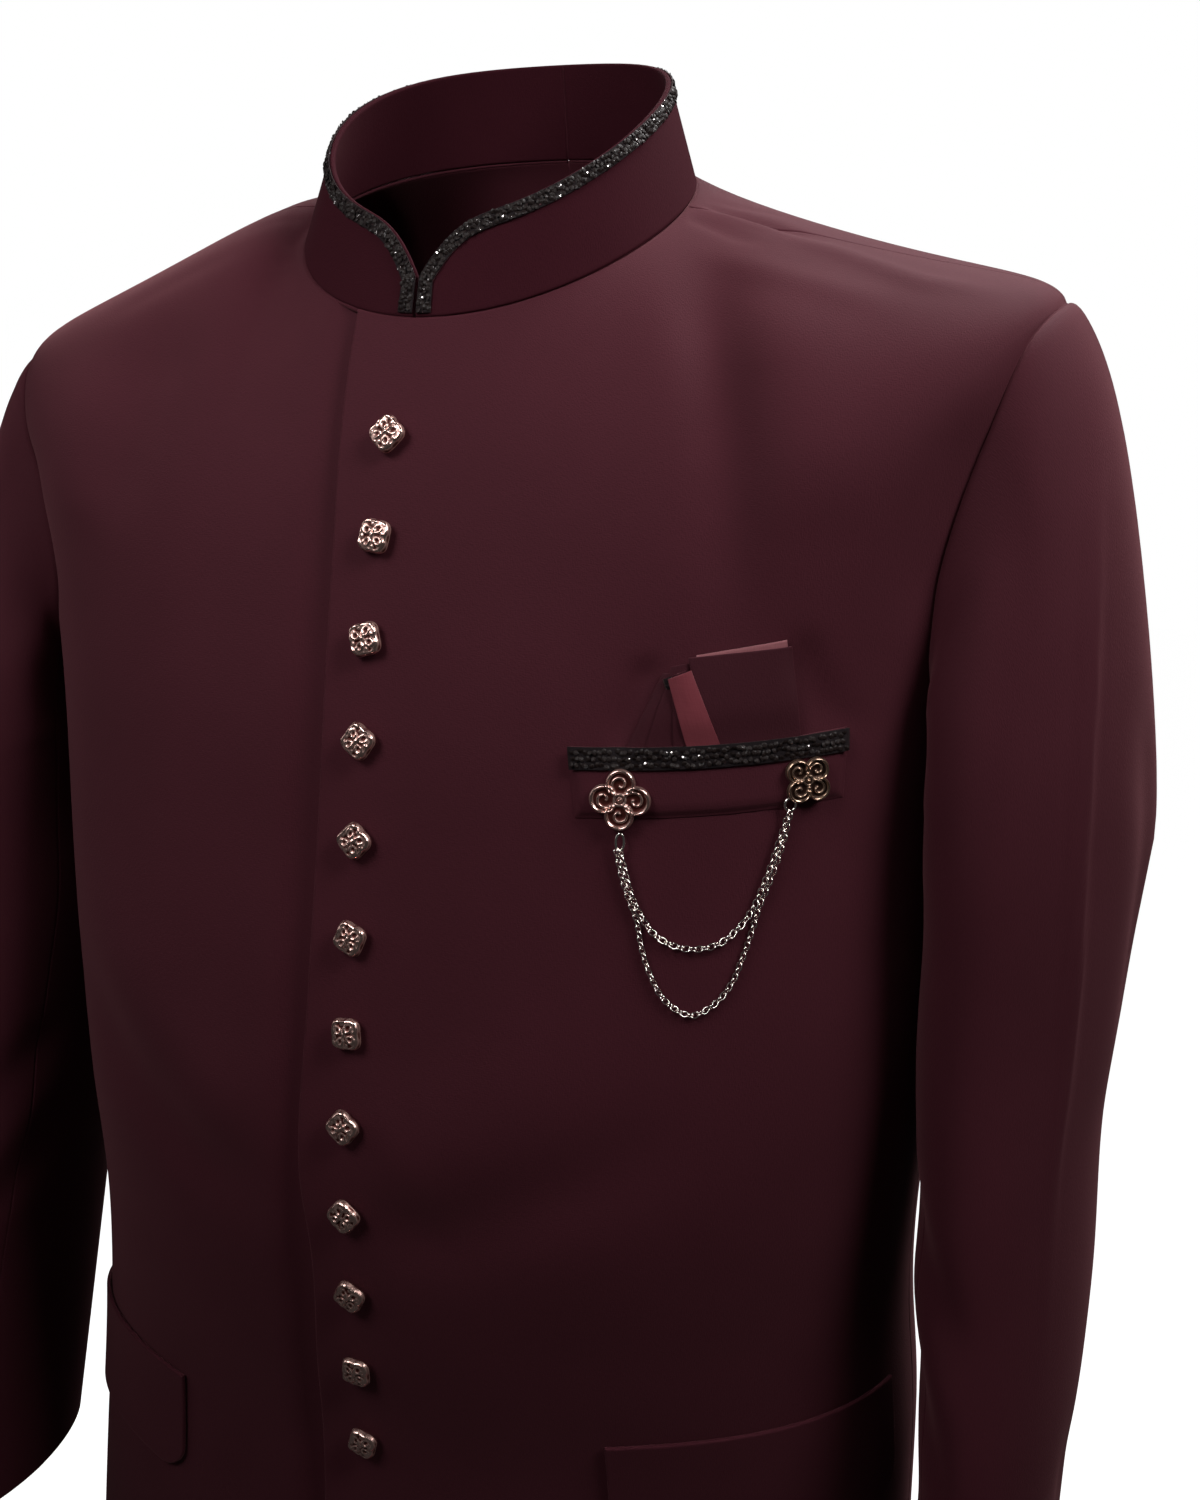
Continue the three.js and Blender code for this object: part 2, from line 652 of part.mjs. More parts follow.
function lobedRadius(turn) {
  return BUTTON_RADIUS * (1 + BUTTON_LOBE * Math.cos(4 * (turn - Math.PI / 2)));
}

function buttonGeometry() {
  const positions = [0, 0, BUTTON_PROFILE[0].h];
  for (const ring of BUTTON_PROFILE) {
    for (let k = 0; k < BUTTON_SIDES; k += 1) {
      const turn = (2 * Math.PI * k) / BUTTON_SIDES;
      const radius = lobedRadius(turn) * ring.r;
      positions.push(radius * Math.cos(turn), radius * Math.sin(turn), ring.h);
    }
  }
  positions.push(0, 0, BUTTON_TOP);
  const at = (ring, k) => 1 + ring * BUTTON_SIDES + (k % BUTTON_SIDES);
  const top = 1 + BUTTON_PROFILE.length * BUTTON_SIDES;
  const index = [];
  for (let k = 0; k < BUTTON_SIDES; k += 1) {
    index.push(0, at(0, k + 1), at(0, k));
    for (let ring = 0; ring < BUTTON_PROFILE.length - 1; ring += 1) {
      index.push(at(ring, k), at(ring, k + 1), at(ring + 1, k + 1));
      index.push(at(ring, k), at(ring + 1, k + 1), at(ring + 1, k));
    }
    index.push(at(BUTTON_PROFILE.length - 1, k), at(BUTTON_PROFILE.length - 1, k + 1), top);
  }
  const geometry = new THREE.BufferGeometry();
  geometry.setAttribute("position", new THREE.Float32BufferAttribute(positions, 3));
  geometry.setIndex(index);
  geometry.computeVertexNormals();
  return geometry;
}

// Heights of the buttons, an even distance apart along the centre front
function buttonHeights() {
  const heights = [FIRST_BUTTON_Z];
  while (heights.length < BUTTON_COUNT) {
    const here = heights.at(-1);
    const a = frontSample(1, BUTTON_X, here).point;
    const b = frontSample(1, BUTTON_X, here - BUTTON_PITCH).point;
    heights.push(here - (BUTTON_PITCH * BUTTON_PITCH) / a.distanceTo(b));
  }
  return heights;
}

// Brooches, rings and chains

// Outline of four round lobes: arcs that meet on the diagonals
function quatrefoil({ lobe, reach }) {
  const shape = new THREE.Shape();
  const corner = reach / Math.SQRT2 + Math.sqrt(lobe ** 2 - reach ** 2 / 2);
  const half = Math.atan2(corner, corner - reach * Math.SQRT2);
  for (let k = 0; k < 4; k += 1) {
    const turn = (Math.PI / 2) * k;
    shape.absarc(reach * Math.cos(turn), reach * Math.sin(turn), lobe, turn - half, turn + half, false);
  }
  return shape;
}

function broochGeometry(brooch) {
  const plate = new THREE.ExtrudeGeometry(quatrefoil(brooch), {
    depth: BROOCH_PLATE,
    bevelThickness: BROOCH_BEVEL,
    bevelSize: BROOCH_BEVEL,
    bevelSegments: 1,
    curveSegments: 5,
  });
  return plate.translate(0, 0, BROOCH_BEVEL);
}

// Route of a chain between the two rings: a hanging curve laid on the chest
function chainCurve({ radius, sag, apart }) {
  const drop = RING.radius + RING.wire + LAY_GAP + radius;
  const { left, right } = RING_PLACES;
  const points = evenSteps(0, 1, 16).map((share) => {
    const x = THREE.MathUtils.lerp(left.x - apart, right.x + apart, share);
    const z = THREE.MathUtils.lerp(left.z, right.z, share) - drop - sag * 4 * share * (1 - share);
    const { point, normal } = frontSample(1, x, z);
    return point.addScaledVector(normal, radius + LAY_GAP);
  });
  return new THREE.CatmullRomCurve3(points);
}

function chainGeometry(chain) {
  const section = new THREE.Shape();
  section.absarc(0, 0, chain.radius, 0, 2 * Math.PI, false);
  return new THREE.ExtrudeGeometry(section, {
    steps: 26,
    extrudePath: chainCurve(chain),
    curveSegments: 3,
    bevelEnabled: false,
  });
}

// Materials

const WINE_CLOTH = new THREE.MeshStandardMaterial({ color: 0x44232b, roughness: 0.8, metalness: 0 });
const BLACK_BEADS = new THREE.MeshStandardMaterial({ color: 0x15100f, roughness: 0.3, metalness: 0.2 });
const WINE_SATIN = new THREE.MeshStandardMaterial({ color: 0x5e2f36, roughness: 0.45, metalness: 0 });
const METAL_BUTTON = new THREE.MeshStandardMaterial({ color: 0x78605a, roughness: 0.35, metalness: 1 });
const METAL_CHAIN = new THREE.MeshStandardMaterial({ color: 0x6a6260, roughness: 0.3, metalness: 1 });

// The jacket

const ORNAMENT_LIFT = LAY_GAP + WELT_WALL + LAY_GAP;
const jacket = new THREE.Group();

function add(name, geometry, material) {
  const mesh = new THREE.Mesh(geometry, material);
  mesh.name = name;
  jacket.add(mesh);
  return mesh;
}

add("front_left", bodyPanel(1, true), WINE_CLOTH);
add("front_right", bodyPanel(-1, true), WINE_CLOTH);
add("back_left", bodyPanel(1, false), WINE_CLOTH);
add("back_right", bodyPanel(-1, false), WINE_CLOTH);

for (const [name, side] of [["left", 1], ["right", -1]]) {
  const { front, back } = SLEEVE_SEAMS;
  add(`sleeve_${name}_top`, sleevePiece(side, front, back), WINE_CLOTH);
  add(`sleeve_${name}_under`, sleevePiece(side, back, front + SLEEVE_STEPS), WINE_CLOTH);
  add(`collar_${name}`, collarHalf(side), WINE_CLOTH);
  add(`collar_trim_${name}`, collarTrim(side), BLACK_BEADS);
  add(`flap_${name}`, hipFlap(side, FLAP_Z[name]), WINE_CLOTH);
}

add("pocket_welt", weltBand(0, WELT.height, LAY_GAP, WELT_WALL), WINE_CLOTH);
add("pocket_trim", weltBand(0, POCKET_TRIM.width, ORNAMENT_LIFT, POCKET_TRIM.wall), BLACK_BEADS);
add("pocket_square", pocketSquare(), WINE_SATIN);

buttonHeights().forEach((z, i) => {
  const name = `button_${String(i + 1).padStart(2, "0")}`;
  standOn(add(name, buttonGeometry(), METAL_BUTTON), BUTTON_X, z, BUTTON_LIFT);
});

for (const end of ["left", "right"]) {
  const brooch = BROOCHES[end];
  standOn(add(`brooch_${end}`, broochGeometry(brooch), METAL_CHAIN), brooch.x, brooch.z, ORNAMENT_LIFT);
  const ring = new THREE.TorusGeometry(RING.radius, RING.wire, 5, 10);
  const { x, z } = RING_PLACES[end];
  standOn(add(`ring_${end}`, ring, METAL_CHAIN), x, z, ORNAMENT_LIFT + BROOCH_BEVEL);
}
for (const chain of CHAINS) add(chain.name, chainGeometry(chain), METAL_CHAIN);

export default jacket;
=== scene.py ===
"""Looks of a bandhgala jacket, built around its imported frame.

The cloth is rebuilt from the part's own curves with close points, thin rounded walls and soft folds.
Shapes are worked out in millimetres and turned into metres when a piece is made.
"""

import math

import bpy
import numpy as np
from mathutils import Matrix, Vector
from mathutils.kdtree import KDTree


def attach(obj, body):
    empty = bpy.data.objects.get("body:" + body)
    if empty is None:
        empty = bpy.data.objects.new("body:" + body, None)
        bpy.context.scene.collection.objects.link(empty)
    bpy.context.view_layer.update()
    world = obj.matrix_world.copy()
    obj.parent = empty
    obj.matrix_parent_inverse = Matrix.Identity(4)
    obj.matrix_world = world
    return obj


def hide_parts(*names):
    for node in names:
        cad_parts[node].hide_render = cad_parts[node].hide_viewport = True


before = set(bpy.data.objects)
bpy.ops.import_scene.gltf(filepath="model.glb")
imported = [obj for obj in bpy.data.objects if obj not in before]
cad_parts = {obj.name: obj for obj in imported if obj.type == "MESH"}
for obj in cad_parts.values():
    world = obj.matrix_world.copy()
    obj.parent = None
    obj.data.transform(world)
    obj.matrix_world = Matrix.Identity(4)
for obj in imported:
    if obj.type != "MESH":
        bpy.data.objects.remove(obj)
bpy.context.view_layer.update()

MM = 0.001

# Camera: where the photograph was taken from

CAMERA_PLACE = (281.3, -593.7, -85.5)
CAMERA_AZIMUTH, CAMERA_PITCH, CAMERA_ROLL = (math.radians(a) for a in (21.1, 13.9, 1.68))
CAMERA_LENS = 36


def make_camera():
    """The camera at the photograph's place, which looks the photograph's way."""
    ahead = Vector((
        -math.sin(CAMERA_AZIMUTH) * math.cos(CAMERA_PITCH),
        math.cos(CAMERA_AZIMUTH) * math.cos(CAMERA_PITCH),
        -math.sin(CAMERA_PITCH),
    ))
    level = Vector((math.cos(CAMERA_AZIMUTH), math.sin(CAMERA_AZIMUTH), 0))
    rise = level.cross(ahead)
    right = math.cos(CAMERA_ROLL) * level + math.sin(CAMERA_ROLL) * rise
    up = math.cos(CAMERA_ROLL) * rise - math.sin(CAMERA_ROLL) * level
    data = bpy.data.cameras.new("camera")
    data.lens = data.sensor_width = CAMERA_LENS
    data.clip_start, data.clip_end = 0.01, 30
    camera = bpy.data.objects.new("camera", data)
    turn = Matrix((right, up, -ahead)).transposed().to_4x4()
    camera.matrix_world = Matrix.Translation(Vector(CAMERA_PLACE) * MM) @ turn
    bpy.context.scene.collection.objects.link(camera)
    bpy.context.scene.camera = camera


make_camera()

# Sizes that the part's source states

CLOTH = 2.0
COLLAR_WALL = 2.4
SEAM_GAP = 0.3
LAY_GAP = 0.3
HEM_Z = -750
CHEST_Z = -245
BODY_CENTRE_Y = 8


def table(names, *rows):
    return {name: np.array(column, float) for name, column in zip(names, zip(*rows))}


# Rings of the body: half width, places of the front and back, and how square the ring is
BODY_SECTIONS = table(
    ("z", "half_width", "front", "back", "square"),
    (-750, 222, -118, 132, 2.3),
    (-620, 212, -113, 124, 2.3),
    (-540, 204, -112, 116, 2.3),
    (-470, 196, -120, 111, 2.35),
    (-400, 197, -126, 113, 2.45),
    (-330, 202, -121, 118, 2.5),
    (-245, 206, -113, 122, 2.5),
)
# From the chest to the neck: slopes at both ends, and how they change round the body
SLOPE_STEP = 10.0
YOKE_NECK = {"front": 62, "side": 650, "back": 60}
YOKE_CHEST = {"front": 180, "side": 790, "back": 170}
YOKE_FALL = {"front": 2.7, "side": 0.27, "back": 1.3}
SIDE_POWER = 3.0
FALL_POWER = 2.4
NECK_RISE = {"height": 1.5, "at": 0.06}
# The right shoulder hangs lower than the left one
RIGHT_DROP = {"by": 24, "from_x": 82, "over_x": 146, "power": 1.6, "most": 1.15}
RIGHT_RISE = {"height": 7, "at": 0.2}
DROP_FADE = {"from_z": -330, "over_z": 200}
NECK_V = 1.999  # the body's highest line, just below the neck seam
NORMAL_V = 1.998  # the highest place where the surface still has a slope to measure
NECK = {"half_width": 82.1, "depth": 74, "centre_y": 1.4, "front_z": -65.1, "side_z": -18.5, "back_z": 10.2}
COLLAR_TOP = {
    "half_width": 69.3, "depth": 65.9, "centre_y": 1, "front_z": -29.7, "side_z": 20.2, "back_z": 48.9,
}
COLLAR_NOTCH = 0.4
COLLAR_ROUND = math.radians(29)
COLLAR_ROUND_POWER = 3.4
COLLAR_END = 0.004
COLLAR_BACK = math.pi - SEAM_GAP / 2 / NECK["depth"]
TRIM_WIDTH = 6.2
TRIM_INSET = 0.5
TRIM_CORNER = 0.12
TRIM_EASE = 1.9
SHOULDER_AT = 0.51
# Rows of the armhole from the underarm to the shoulder: a row's number is in the place of z, with how
# far up it is as a share, and the degrees that it cuts into the panels
ARMHOLE = table(
    ("z", "up", "cut"),
    (0, 0, 0), (1, 0.02, 9.5), (2, 0.075, 16.5), (3, 0.145, 21.8), (4, 0.23, 25), (5, 0.33, 25.4),
    (6, 0.44, 24.4), (7, 0.56, 22.4), (8, 0.68, 20), (9, 0.79, 18), (10, 0.89, 15.4), (11, 0.97, 12),
    (12, 1, 6.8), (13, 1, 0),
)
ARMHOLE_STEPS = 13
BACK_CUT = 0.84
ARMHOLE_TOP = 0.6
# How far the left front runs past the centre, and how the right one sinks beneath it
OVERLAP = table(
    ("z", "x"),
    (-750, 24), (-500, 23), (-440, 20.5), (-395, 24), (-320, 21.5), (-240, 19.5), (-160, 20.5), (-105, 24),
    (-65, 26),
)
UNDERLAP = 22
SINK = {"from_x": 41, "to_x": 27, "extra": 0.7}
OVERLAP_PUFF = {"height": 0.9, "wide": 9}
CUFF_Z = -650
BICEP_Z = -262
# Rings of the sleeve: the centre, the half widths across and along, and the turn in degrees
SLEEVE_SECTIONS = table(
    ("z", "x", "y", "across", "along", "turn"),
    (-650, 253, -64, 27, 56, 5),
    (-520, 250, -37, 27, 60, 6),
    (-490, 249, -31, 28.5, 61, 8),
    (-436, 246, -20, 31, 63, 10),
    (-372, 241, -10, 32, 66, 12),
    (-330, 241, -4, 34, 70, 15),
    (-262, 243, -1, 34, 76, 17),
)
CAP_OUT = {"under": 36, "top": 85}
CAP_DOWN = {"under": 45, "top": 185}
CAP_WAY = {"out": 0.88, "swing": 0.42, "low_swing": 0.45, "under_fall": 0.45, "top_fall": 0.3}
SLEEVE_SEAMS = {"front": 3, "back": 4}  # rows of the armhole where the two pieces of a sleeve meet
WELT = {
    "from_x": 80.5, "to_x": 174.5, "from_z": -215, "to_z": -204.5, "sag": 1.6, "height": 26, "slant": 4,
}
WELT_LENGTH = WELT["to_x"] - WELT["from_x"]
WELT_WALL = 1.6
POCKET_TRIM_WIDTH = 8.4
FLAP = {"from_x": 103, "width": 150, "height": 55, "wall": 2.0, "corner": 16, "lift": 0.6}
FLAP_Z = {"left": {"front": -504, "back": -495}, "right": {"front": -534, "back": -543}}
FLAP_ARCH = 5
BUTTON_COUNT = 12
FIRST_BUTTON_Z = -108.6
BUTTON_PITCH = 38.4
BUTTON_X = -1.8
BUTTON_RADIUS = 6.9
BUTTON_LIFT = 0.3
BROOCHES = {
    "left": {"x": 100.8, "z": -232.6, "lobe": 5.1, "reach": 5.7, "turn": 0},
    "right": {"x": 162.2, "z": -223.0, "lobe": 4.2, "reach": 4.9, "turn": 52},
}
RING_WIRE = 0.55
RINGS = {
    "left": {"x": 101.7, "z": -248.2, "wide": 1.5, "tall": 3.2},
    "right": {"x": 157.3, "z": -232.1, "wide": 2.0, "tall": 2.3},
}
# Routes of the chains on the chest, as x and z from the left ring to the right one
CHAINS = (
    {"name": "chain_upper", "radius": 1.2, "over": 1.3, "route": (
        (101.6, -250.9), (104.4, -259.6), (106.9, -267.8), (110.8, -275.5), (115.5, -281.8), (122.2, -285.7),
        (129.9, -286.7), (137.8, -284.4), (144.3, -277.8), (148.2, -270.5), (150.7, -262.1), (152.9, -253.6),
        (155.0, -244.3), (157.1, -234.9),
    )},
    {"name": "chain_lower", "radius": 1.1, "over": 0, "route": (
        (100.4, -251.4), (102.9, -261.0), (106.0, -269.6), (109.1, -276.9), (111.7, -288.0), (115.5, -298.1),
        (121.0, -307.0), (129.7, -312.0), (137.0, -308.0), (142.5, -299.9), (145.8, -289.3), (148.2, -279.4),
        (149.9, -270.9), (152.4, -262.4), (154.8, -253.1), (156.8, -242.9), (157.8, -235.4),
    )},
)
ORNAMENT_LIFT = LAY_GAP + WELT_WALL + LAY_GAP

# Surface of the cloth, as in the part's source


def hermite(t, a, b, slope_a, slope_b):
    """A smooth way from a to b that leaves and arrives at given slopes."""
    t2, t3 = t * t, t * t * t
    from_a = (2 * t3 - 3 * t2 + 1) * a + (t3 - 2 * t2 + t) * slope_a
    return from_a + (3 * t2 - 2 * t3) * b + (t3 - t2) * slope_b


def read_table(rows, column, z):
    """A column's value at heights between a table's rows, on a smooth line through them."""
    key, values = rows["z"], rows[column]
    last = len(key) - 1
    places = np.arange(last + 1)
    low, high = np.maximum(places - 1, 0), np.minimum(places + 1, last)
    slope = (values[high] - values[low]) / (key[high] - key[low])
    i = np.clip(np.searchsorted(key, z, side="left") - 1, 0, last - 1)
    span = key[i + 1] - key[i]
    return hermite((z - key[i]) / span, values[i], values[i + 1], span * slope[i], span * slope[i + 1])


def xyz(x, y, z):
    return np.stack(np.broadcast_arrays(x, y, z), axis=-1).astype(float)


def unit(vectors):
    return vectors / np.linalg.norm(vectors, axis=-1, keepdims=True)


def smooth_step(value):
    t = np.clip(value, 0, 1)
    return t * t * (3 - 2 * t)


def body_section(angle, z):
    """Round the body at a height below the armholes: 0 is the centre front and pi the centre back."""
    s, c = np.sin(angle), np.cos(angle)
    square = read_table(BODY_SECTIONS, "square", z)
    q = (np.abs(s) ** square + np.abs(c) ** square) ** (-1 / square)
    front = BODY_CENTRE_Y - read_table(BODY_SECTIONS, "front", z)
    back = read_table(BODY_SECTIONS, "back", z) - BODY_CENTRE_Y
    reach = np.where(c > 0, front, back)
    return xyz(read_table(BODY_SECTIONS, "half_width", z) * s * q, BODY_CENTRE_Y - reach * c * q, z)


def neck_ring(ring, angle):
    """Round the neck seam or the collar's top edge."""
    middle = (ring["front_z"] + ring["back_z"]) / 2
    level = (middle + ring["side_z"]) / 2
    tilt = (ring["front_z"] - ring["back_z"]) / 2
    bow = (middle - ring["side_z"]) / 2
    return xyz(
        ring["half_width"] * np.sin(angle),
        ring["centre_y"] - ring["depth"] * np.cos(angle),
        level + tilt * np.cos(angle) + bow * np.cos(2 * angle),
    )


def yoke_point(angle, t):
    """The body from the chest (0) up to the neck seam (1)."""
    s, c = np.sin(angle), np.cos(angle)

    def blend(row, share):
        return np.where(c > 0, row["front"], row["back"]) * (1 - share) + row["side"] * share

    side = np.abs(s) ** SIDE_POWER
    fall = blend(YOKE_FALL, 1 - np.abs(c) ** FALL_POWER)
    neck = neck_ring(NECK, angle)
    chest = body_section(angle, np.full(angle.shape, float(CHEST_Z)))
    below = body_section(angle, np.full(angle.shape, CHEST_Z - SLOPE_STEP))
    up = (chest - below) * (blend(YOKE_CHEST, side) / SLOPE_STEP)[..., None]
    inward = xyz(-s, c, fall) * blend(YOKE_NECK, side)[..., None]
    point = hermite(t[..., None], chest, neck, up, inward)
    away = (1 - t) / NECK_RISE["at"]
    point[..., 2] += NECK_RISE["height"] * away * np.exp(1 - away) * s ** 4
    return point


def to_side(side, point):
    """Turns points of the left half into their place: side is 1 on the left and -1 on the right."""
    if side > 0:
        return point
    out = (np.abs(point[..., 0]) - RIGHT_DROP["from_x"]) / RIGHT_DROP["over_x"]
    out = np.clip(out, 0, RIGHT_DROP["most"])
    fade = smooth_step((point[..., 2] - DROP_FADE["from_z"]) / DROP_FADE["over_z"])
    near = out / RIGHT_RISE["at"]
    rise = RIGHT_RISE["height"] * near * np.exp(1 - near)
    drop = (RIGHT_DROP["by"] * out ** RIGHT_DROP["power"] - rise) * fade
    return xyz(-point[..., 0], point[..., 1], point[..., 2] - drop)


def body_point(side, angle, v):
    """The body's surface, v from the hem (0) by the chest (1) to the neck seam (2)."""
    angle, v = np.broadcast_arrays(np.asarray(angle, float), np.asarray(v, float))
    low = body_section(angle, HEM_Z + (CHEST_Z - HEM_Z) * np.minimum(v, 1))
    high = yoke_point(angle, np.clip(v - 1, 0, 1))
    return to_side(side, np.where((v <= 1)[..., None], low, high))


HALVINGS = 34
# How a place on the left front is searched: first guess, steps and the most that one step may move
SEARCH = {"rounds": 25, "radius": 230, "height": 230.0, "step": 1e-4, "most_turn": 0.3, "most_climb": 0.2}


def surface_normal(surface, a, b, outward):
    step = 1e-3
    along_a = surface(a + step, b) - surface(a - step, b)
    along_b = surface(a, b + step) - surface(a, b - step)
    return outward * unit(np.cross(along_a, along_b))


def body_normal(side, angle, v):
    return surface_normal(lambda a, b: body_point(side, a, b), angle, np.minimum(v, NORMAL_V), side)


def angle_at(x, v):
    """Angle where the front is a given x from the centre, by halving."""
    x, v = np.broadcast_arrays(np.asarray(x, float), np.asarray(v, float))
    low, high = np.full(x.shape, -math.pi / 2), np.full(x.shape, math.pi / 2)
    for _ in range(HALVINGS):
        middle = (low + high) / 2
        less = body_point(1, middle, v)[..., 0] < x
        low, high = np.where(less, middle, low), np.where(less, high, middle)
    return (low + high) / 2


def locate(x, z):
    """Angle and v of the left front at a given x and z."""
    x, z = np.broadcast_arrays(np.asarray(x, float), np.asarray(z, float))
    angle = x / SEARCH["radius"]
    v = 1 + (z - CHEST_Z) / np.where(z < CHEST_Z, CHEST_Z - HEM_Z, SEARCH["height"])
    step = SEARCH["step"]
    for _ in range(SEARCH["rounds"]):
        here = body_point(1, angle, v)
        by_angle = (body_point(1, angle + step, v) - body_point(1, angle - step, v)) / (2 * step)
        by_v = (body_point(1, angle, v + step) - body_point(1, angle, v - step)) / (2 * step)
        dx, dz = x - here[..., 0], z - here[..., 2]
        size = by_angle[..., 0] * by_v[..., 2] - by_v[..., 0] * by_angle[..., 2]
        turn = (dx * by_v[..., 2] - dz * by_v[..., 0]) / size
        climb = (dz * by_angle[..., 0] - dx * by_angle[..., 2]) / size
        angle = np.clip(angle + np.clip(turn, -SEARCH["most_turn"], SEARCH["most_turn"]), -1.55, 1.55)
        v = np.clip(v + np.clip(climb, -SEARCH["most_climb"], SEARCH["most_climb"]), 0, 1.98)
    return angle, v


# Soft folds: each is a line on the cloth seen from the front or back, as x and z, with how far it
# stands out (or in, below 0) and how wide it is

BODY_FOLDS = (
    {"out": -4.9, "wide": 12, "path": (
        (88, -15), (104, -48), (119, -85), (127, -112), (133, -156), (136, -200),
    )},
    {"out": 2.4, "wide": 20, "path": ((126, -44), (144, -80), (154, -108), (158, -145))},
    {"out": -1.3, "wide": 6, "path": ((152, -162), (162, -184), (172, -200), (184, -214))},
    {"out": -1.9, "wide": 9, "path": ((206, -84), (203, -112), (196, -150), (190, -176))},
    {"out": -1.6, "wide": 5, "path": ((157, -168), (160, -184), (164, -196), (169, -214))},
    {"out": -2.8, "wide": 4.6, "path": ((108, -178), (104, -191), (100, -204), (96, -224))},
    {"out": 2.2, "wide": 26, "path": ((0, -392), (30, -380), (70, -350), (110, -306))},
    {"out": -2.7, "wide": 18, "path": ((-10, -425), (40, -414), (90, -388), (150, -340))},
    {"out": -3.1, "wide": 20, "path": ((-112, -60), (-124, -92), (-130, -124), (-134, -160))},
    {"out": 2.0, "wide": 24, "path": ((-150, -80), (-158, -110), (-160, -140), (-158, -165))},
    {"out": -2.5, "wide": 12, "path": ((-205, -110), (-202, -140), (-196, -175), (-190, -200))},
    {"out": 2.0, "wide": 24, "path": ((-30, -390), (-70, -372), (-120, -340), (-160, -300))},
    {"out": -2.5, "wide": 18, "path": ((-30, -424), (-80, -408), (-130, -376), (-175, -330))},
    {"out": -3.1, "wide": 24, "path": ((60, -620), (64, -680), (66, -740), (66, -760))},
    {"out": -3.1, "wide": 26, "path": ((-110, -620), (-114, -680), (-118, -740), (-118, -760))},
)
BACK_FOLDS = (
    {"out": -3.1, "wide": 16, "path": ((118, -60), (128, -96), (134, -130), (136, -165))},
    {"out": -3.4, "wide": 17, "path": ((-114, -78), (-126, -112), (-132, -150), (-134, -185))},
    {"out": -2.8, "wide": 12, "path": ((196, -110), (192, -150), (182, -190), (168, -225))},
    {"out": -2.9, "wide": 13, "path": ((-197, -130), (-192, -168), (-180, -205), (-166, -240))},
    {"out": -2.5, "wide": 15, "path": ((-30, -430), (-80, -440), (-130, -425), (-180, -400))},
    {"out": 2.2, "wide": 20, "path": ((-20, -455), (30, -462), (90, -452), (150, -425))},
    {"out": -2.4, "wide": 15, "path": ((20, -424), (70, -418), (120, -400), (172, -366))},
    {"out": -3.1, "wide": 24, "path": ((78, -560), (84, -640), (88, -700), (90, -760))},
    {"out": -2.8, "wide": 22, "path": ((-66, -575), (-74, -640), (-78, -700), (-80, -760))},
)
# A swell of both panels over the left hip, where the jacket meets the hanging sleeve
HIP_SWELL = (
    {"out": 7.0, "wide": 62, "path": ((205, -250), (205, -380), (205, -510), (205, -650))},
)
# Creases where the shoulder seam meets the collar, as x, y and z
NECK_FOLDS = (
    {"out": -1.4, "wide": 2.6, "path": ((84, -6, -22), (94, -9, -25), (106, -14, -30), (118, -20, -37))},
    {"out": 1.2, "wide": 3.0, "path": ((84, 2, -20), (97, 0, -22), (112, -3, -26), (128, -6, -31))},
    {"out": -1.0, "wide": 2.8, "path": ((84, 9, -18), (96, 12, -19), (108, 16, -22), (122, 20, -26))},
    {"out": -1.2, "wide": 3, "path": ((-84, -8, -22), (-95, -12, -26), (-108, -17, -32), (-120, -24, -40))},
    {"out": 1.0, "wide": 3.2, "path": ((-84, 3, -19), (-98, 3, -22), (-112, 1, -26), (-126, -2, -34))},
    {"out": 0.9, "wide": 7, "path": ((92, -22, -34), (120, -30, -44), (150, -36, -52), (190, -38, -66))},
    {"out": -2.0, "wide": 3.4, "path": ((86, 4, -18), (104, 3, -22), (120, 0, -27), (146, -9, -36))},
    {"out": 1.5, "wide": 5, "path": ((112, -4, -26), (150, -14, -39), (180, -24, -49), (218, -22, -56))},
    {"out": -1.2, "wide": 7, "path": (
        (-92, -26, -38), (-120, -32, -50), (-150, -36, -64), (-184, -36, -88),
    )},
)
FOLD_START, FOLD_END = 0.3, 0.35  # shares of its length over which a fold rises and fades
FRONT_FADE = {"from_y": 30, "over_y": 50}  # how the front's folds give way to the back's at the sides
DRIFT = {"height": 0.5, "x": (37, 120), "z": (61, 83), "start": 1.2}  # two slow waves across each other


def fold_height(places, folds):
    """How far the folds move each place: they fade at both ends."""
    height = np.zeros(places.shape[:-1])
    for fold in folds:
        path = np.array(fold["path"], float)
        near = np.full(height.shape, np.inf)
        along = np.zeros(height.shape)
        for i, (start, end) in enumerate(zip(path[:-1], path[1:])):
            way = end - start
            t = np.clip(((places - start) @ way) / (way @ way), 0, 1)
            away = np.linalg.norm(places - start - t[..., None] * way, axis=-1)
            along = np.where(away < near, (i + t) / (len(path) - 1), along)
            near = np.minimum(near, away)
        fade = smooth_step(along / FOLD_START) * smooth_step((1 - along) / FOLD_END)
        height += fold["out"] * fade * np.exp(-((near / fold["wide"]) ** 2))
    return height


def body_relief(points):
    """Height of the folds at places on the body, on a slight drift of the whole cloth."""
    flat = points[..., [0, 2]]
    in_front = smooth_step((FRONT_FADE["from_y"] - points[..., 1]) / FRONT_FADE["over_y"])
    height = fold_height(flat, BODY_FOLDS) * in_front + fold_height(flat, BACK_FOLDS) * (1 - in_front)
    x, z = points[..., 0], points[..., 2]
    first_wave = np.sin(x / DRIFT["x"][0] + z / DRIFT["z"][0] + DRIFT["start"])
    drift = DRIFT["height"] * first_wave * np.sin(z / DRIFT["z"][1] - x / DRIFT["x"][1])
    return height + fold_height(points, NECK_FOLDS) + fold_height(flat, HIP_SWELL) + drift


# Meshes


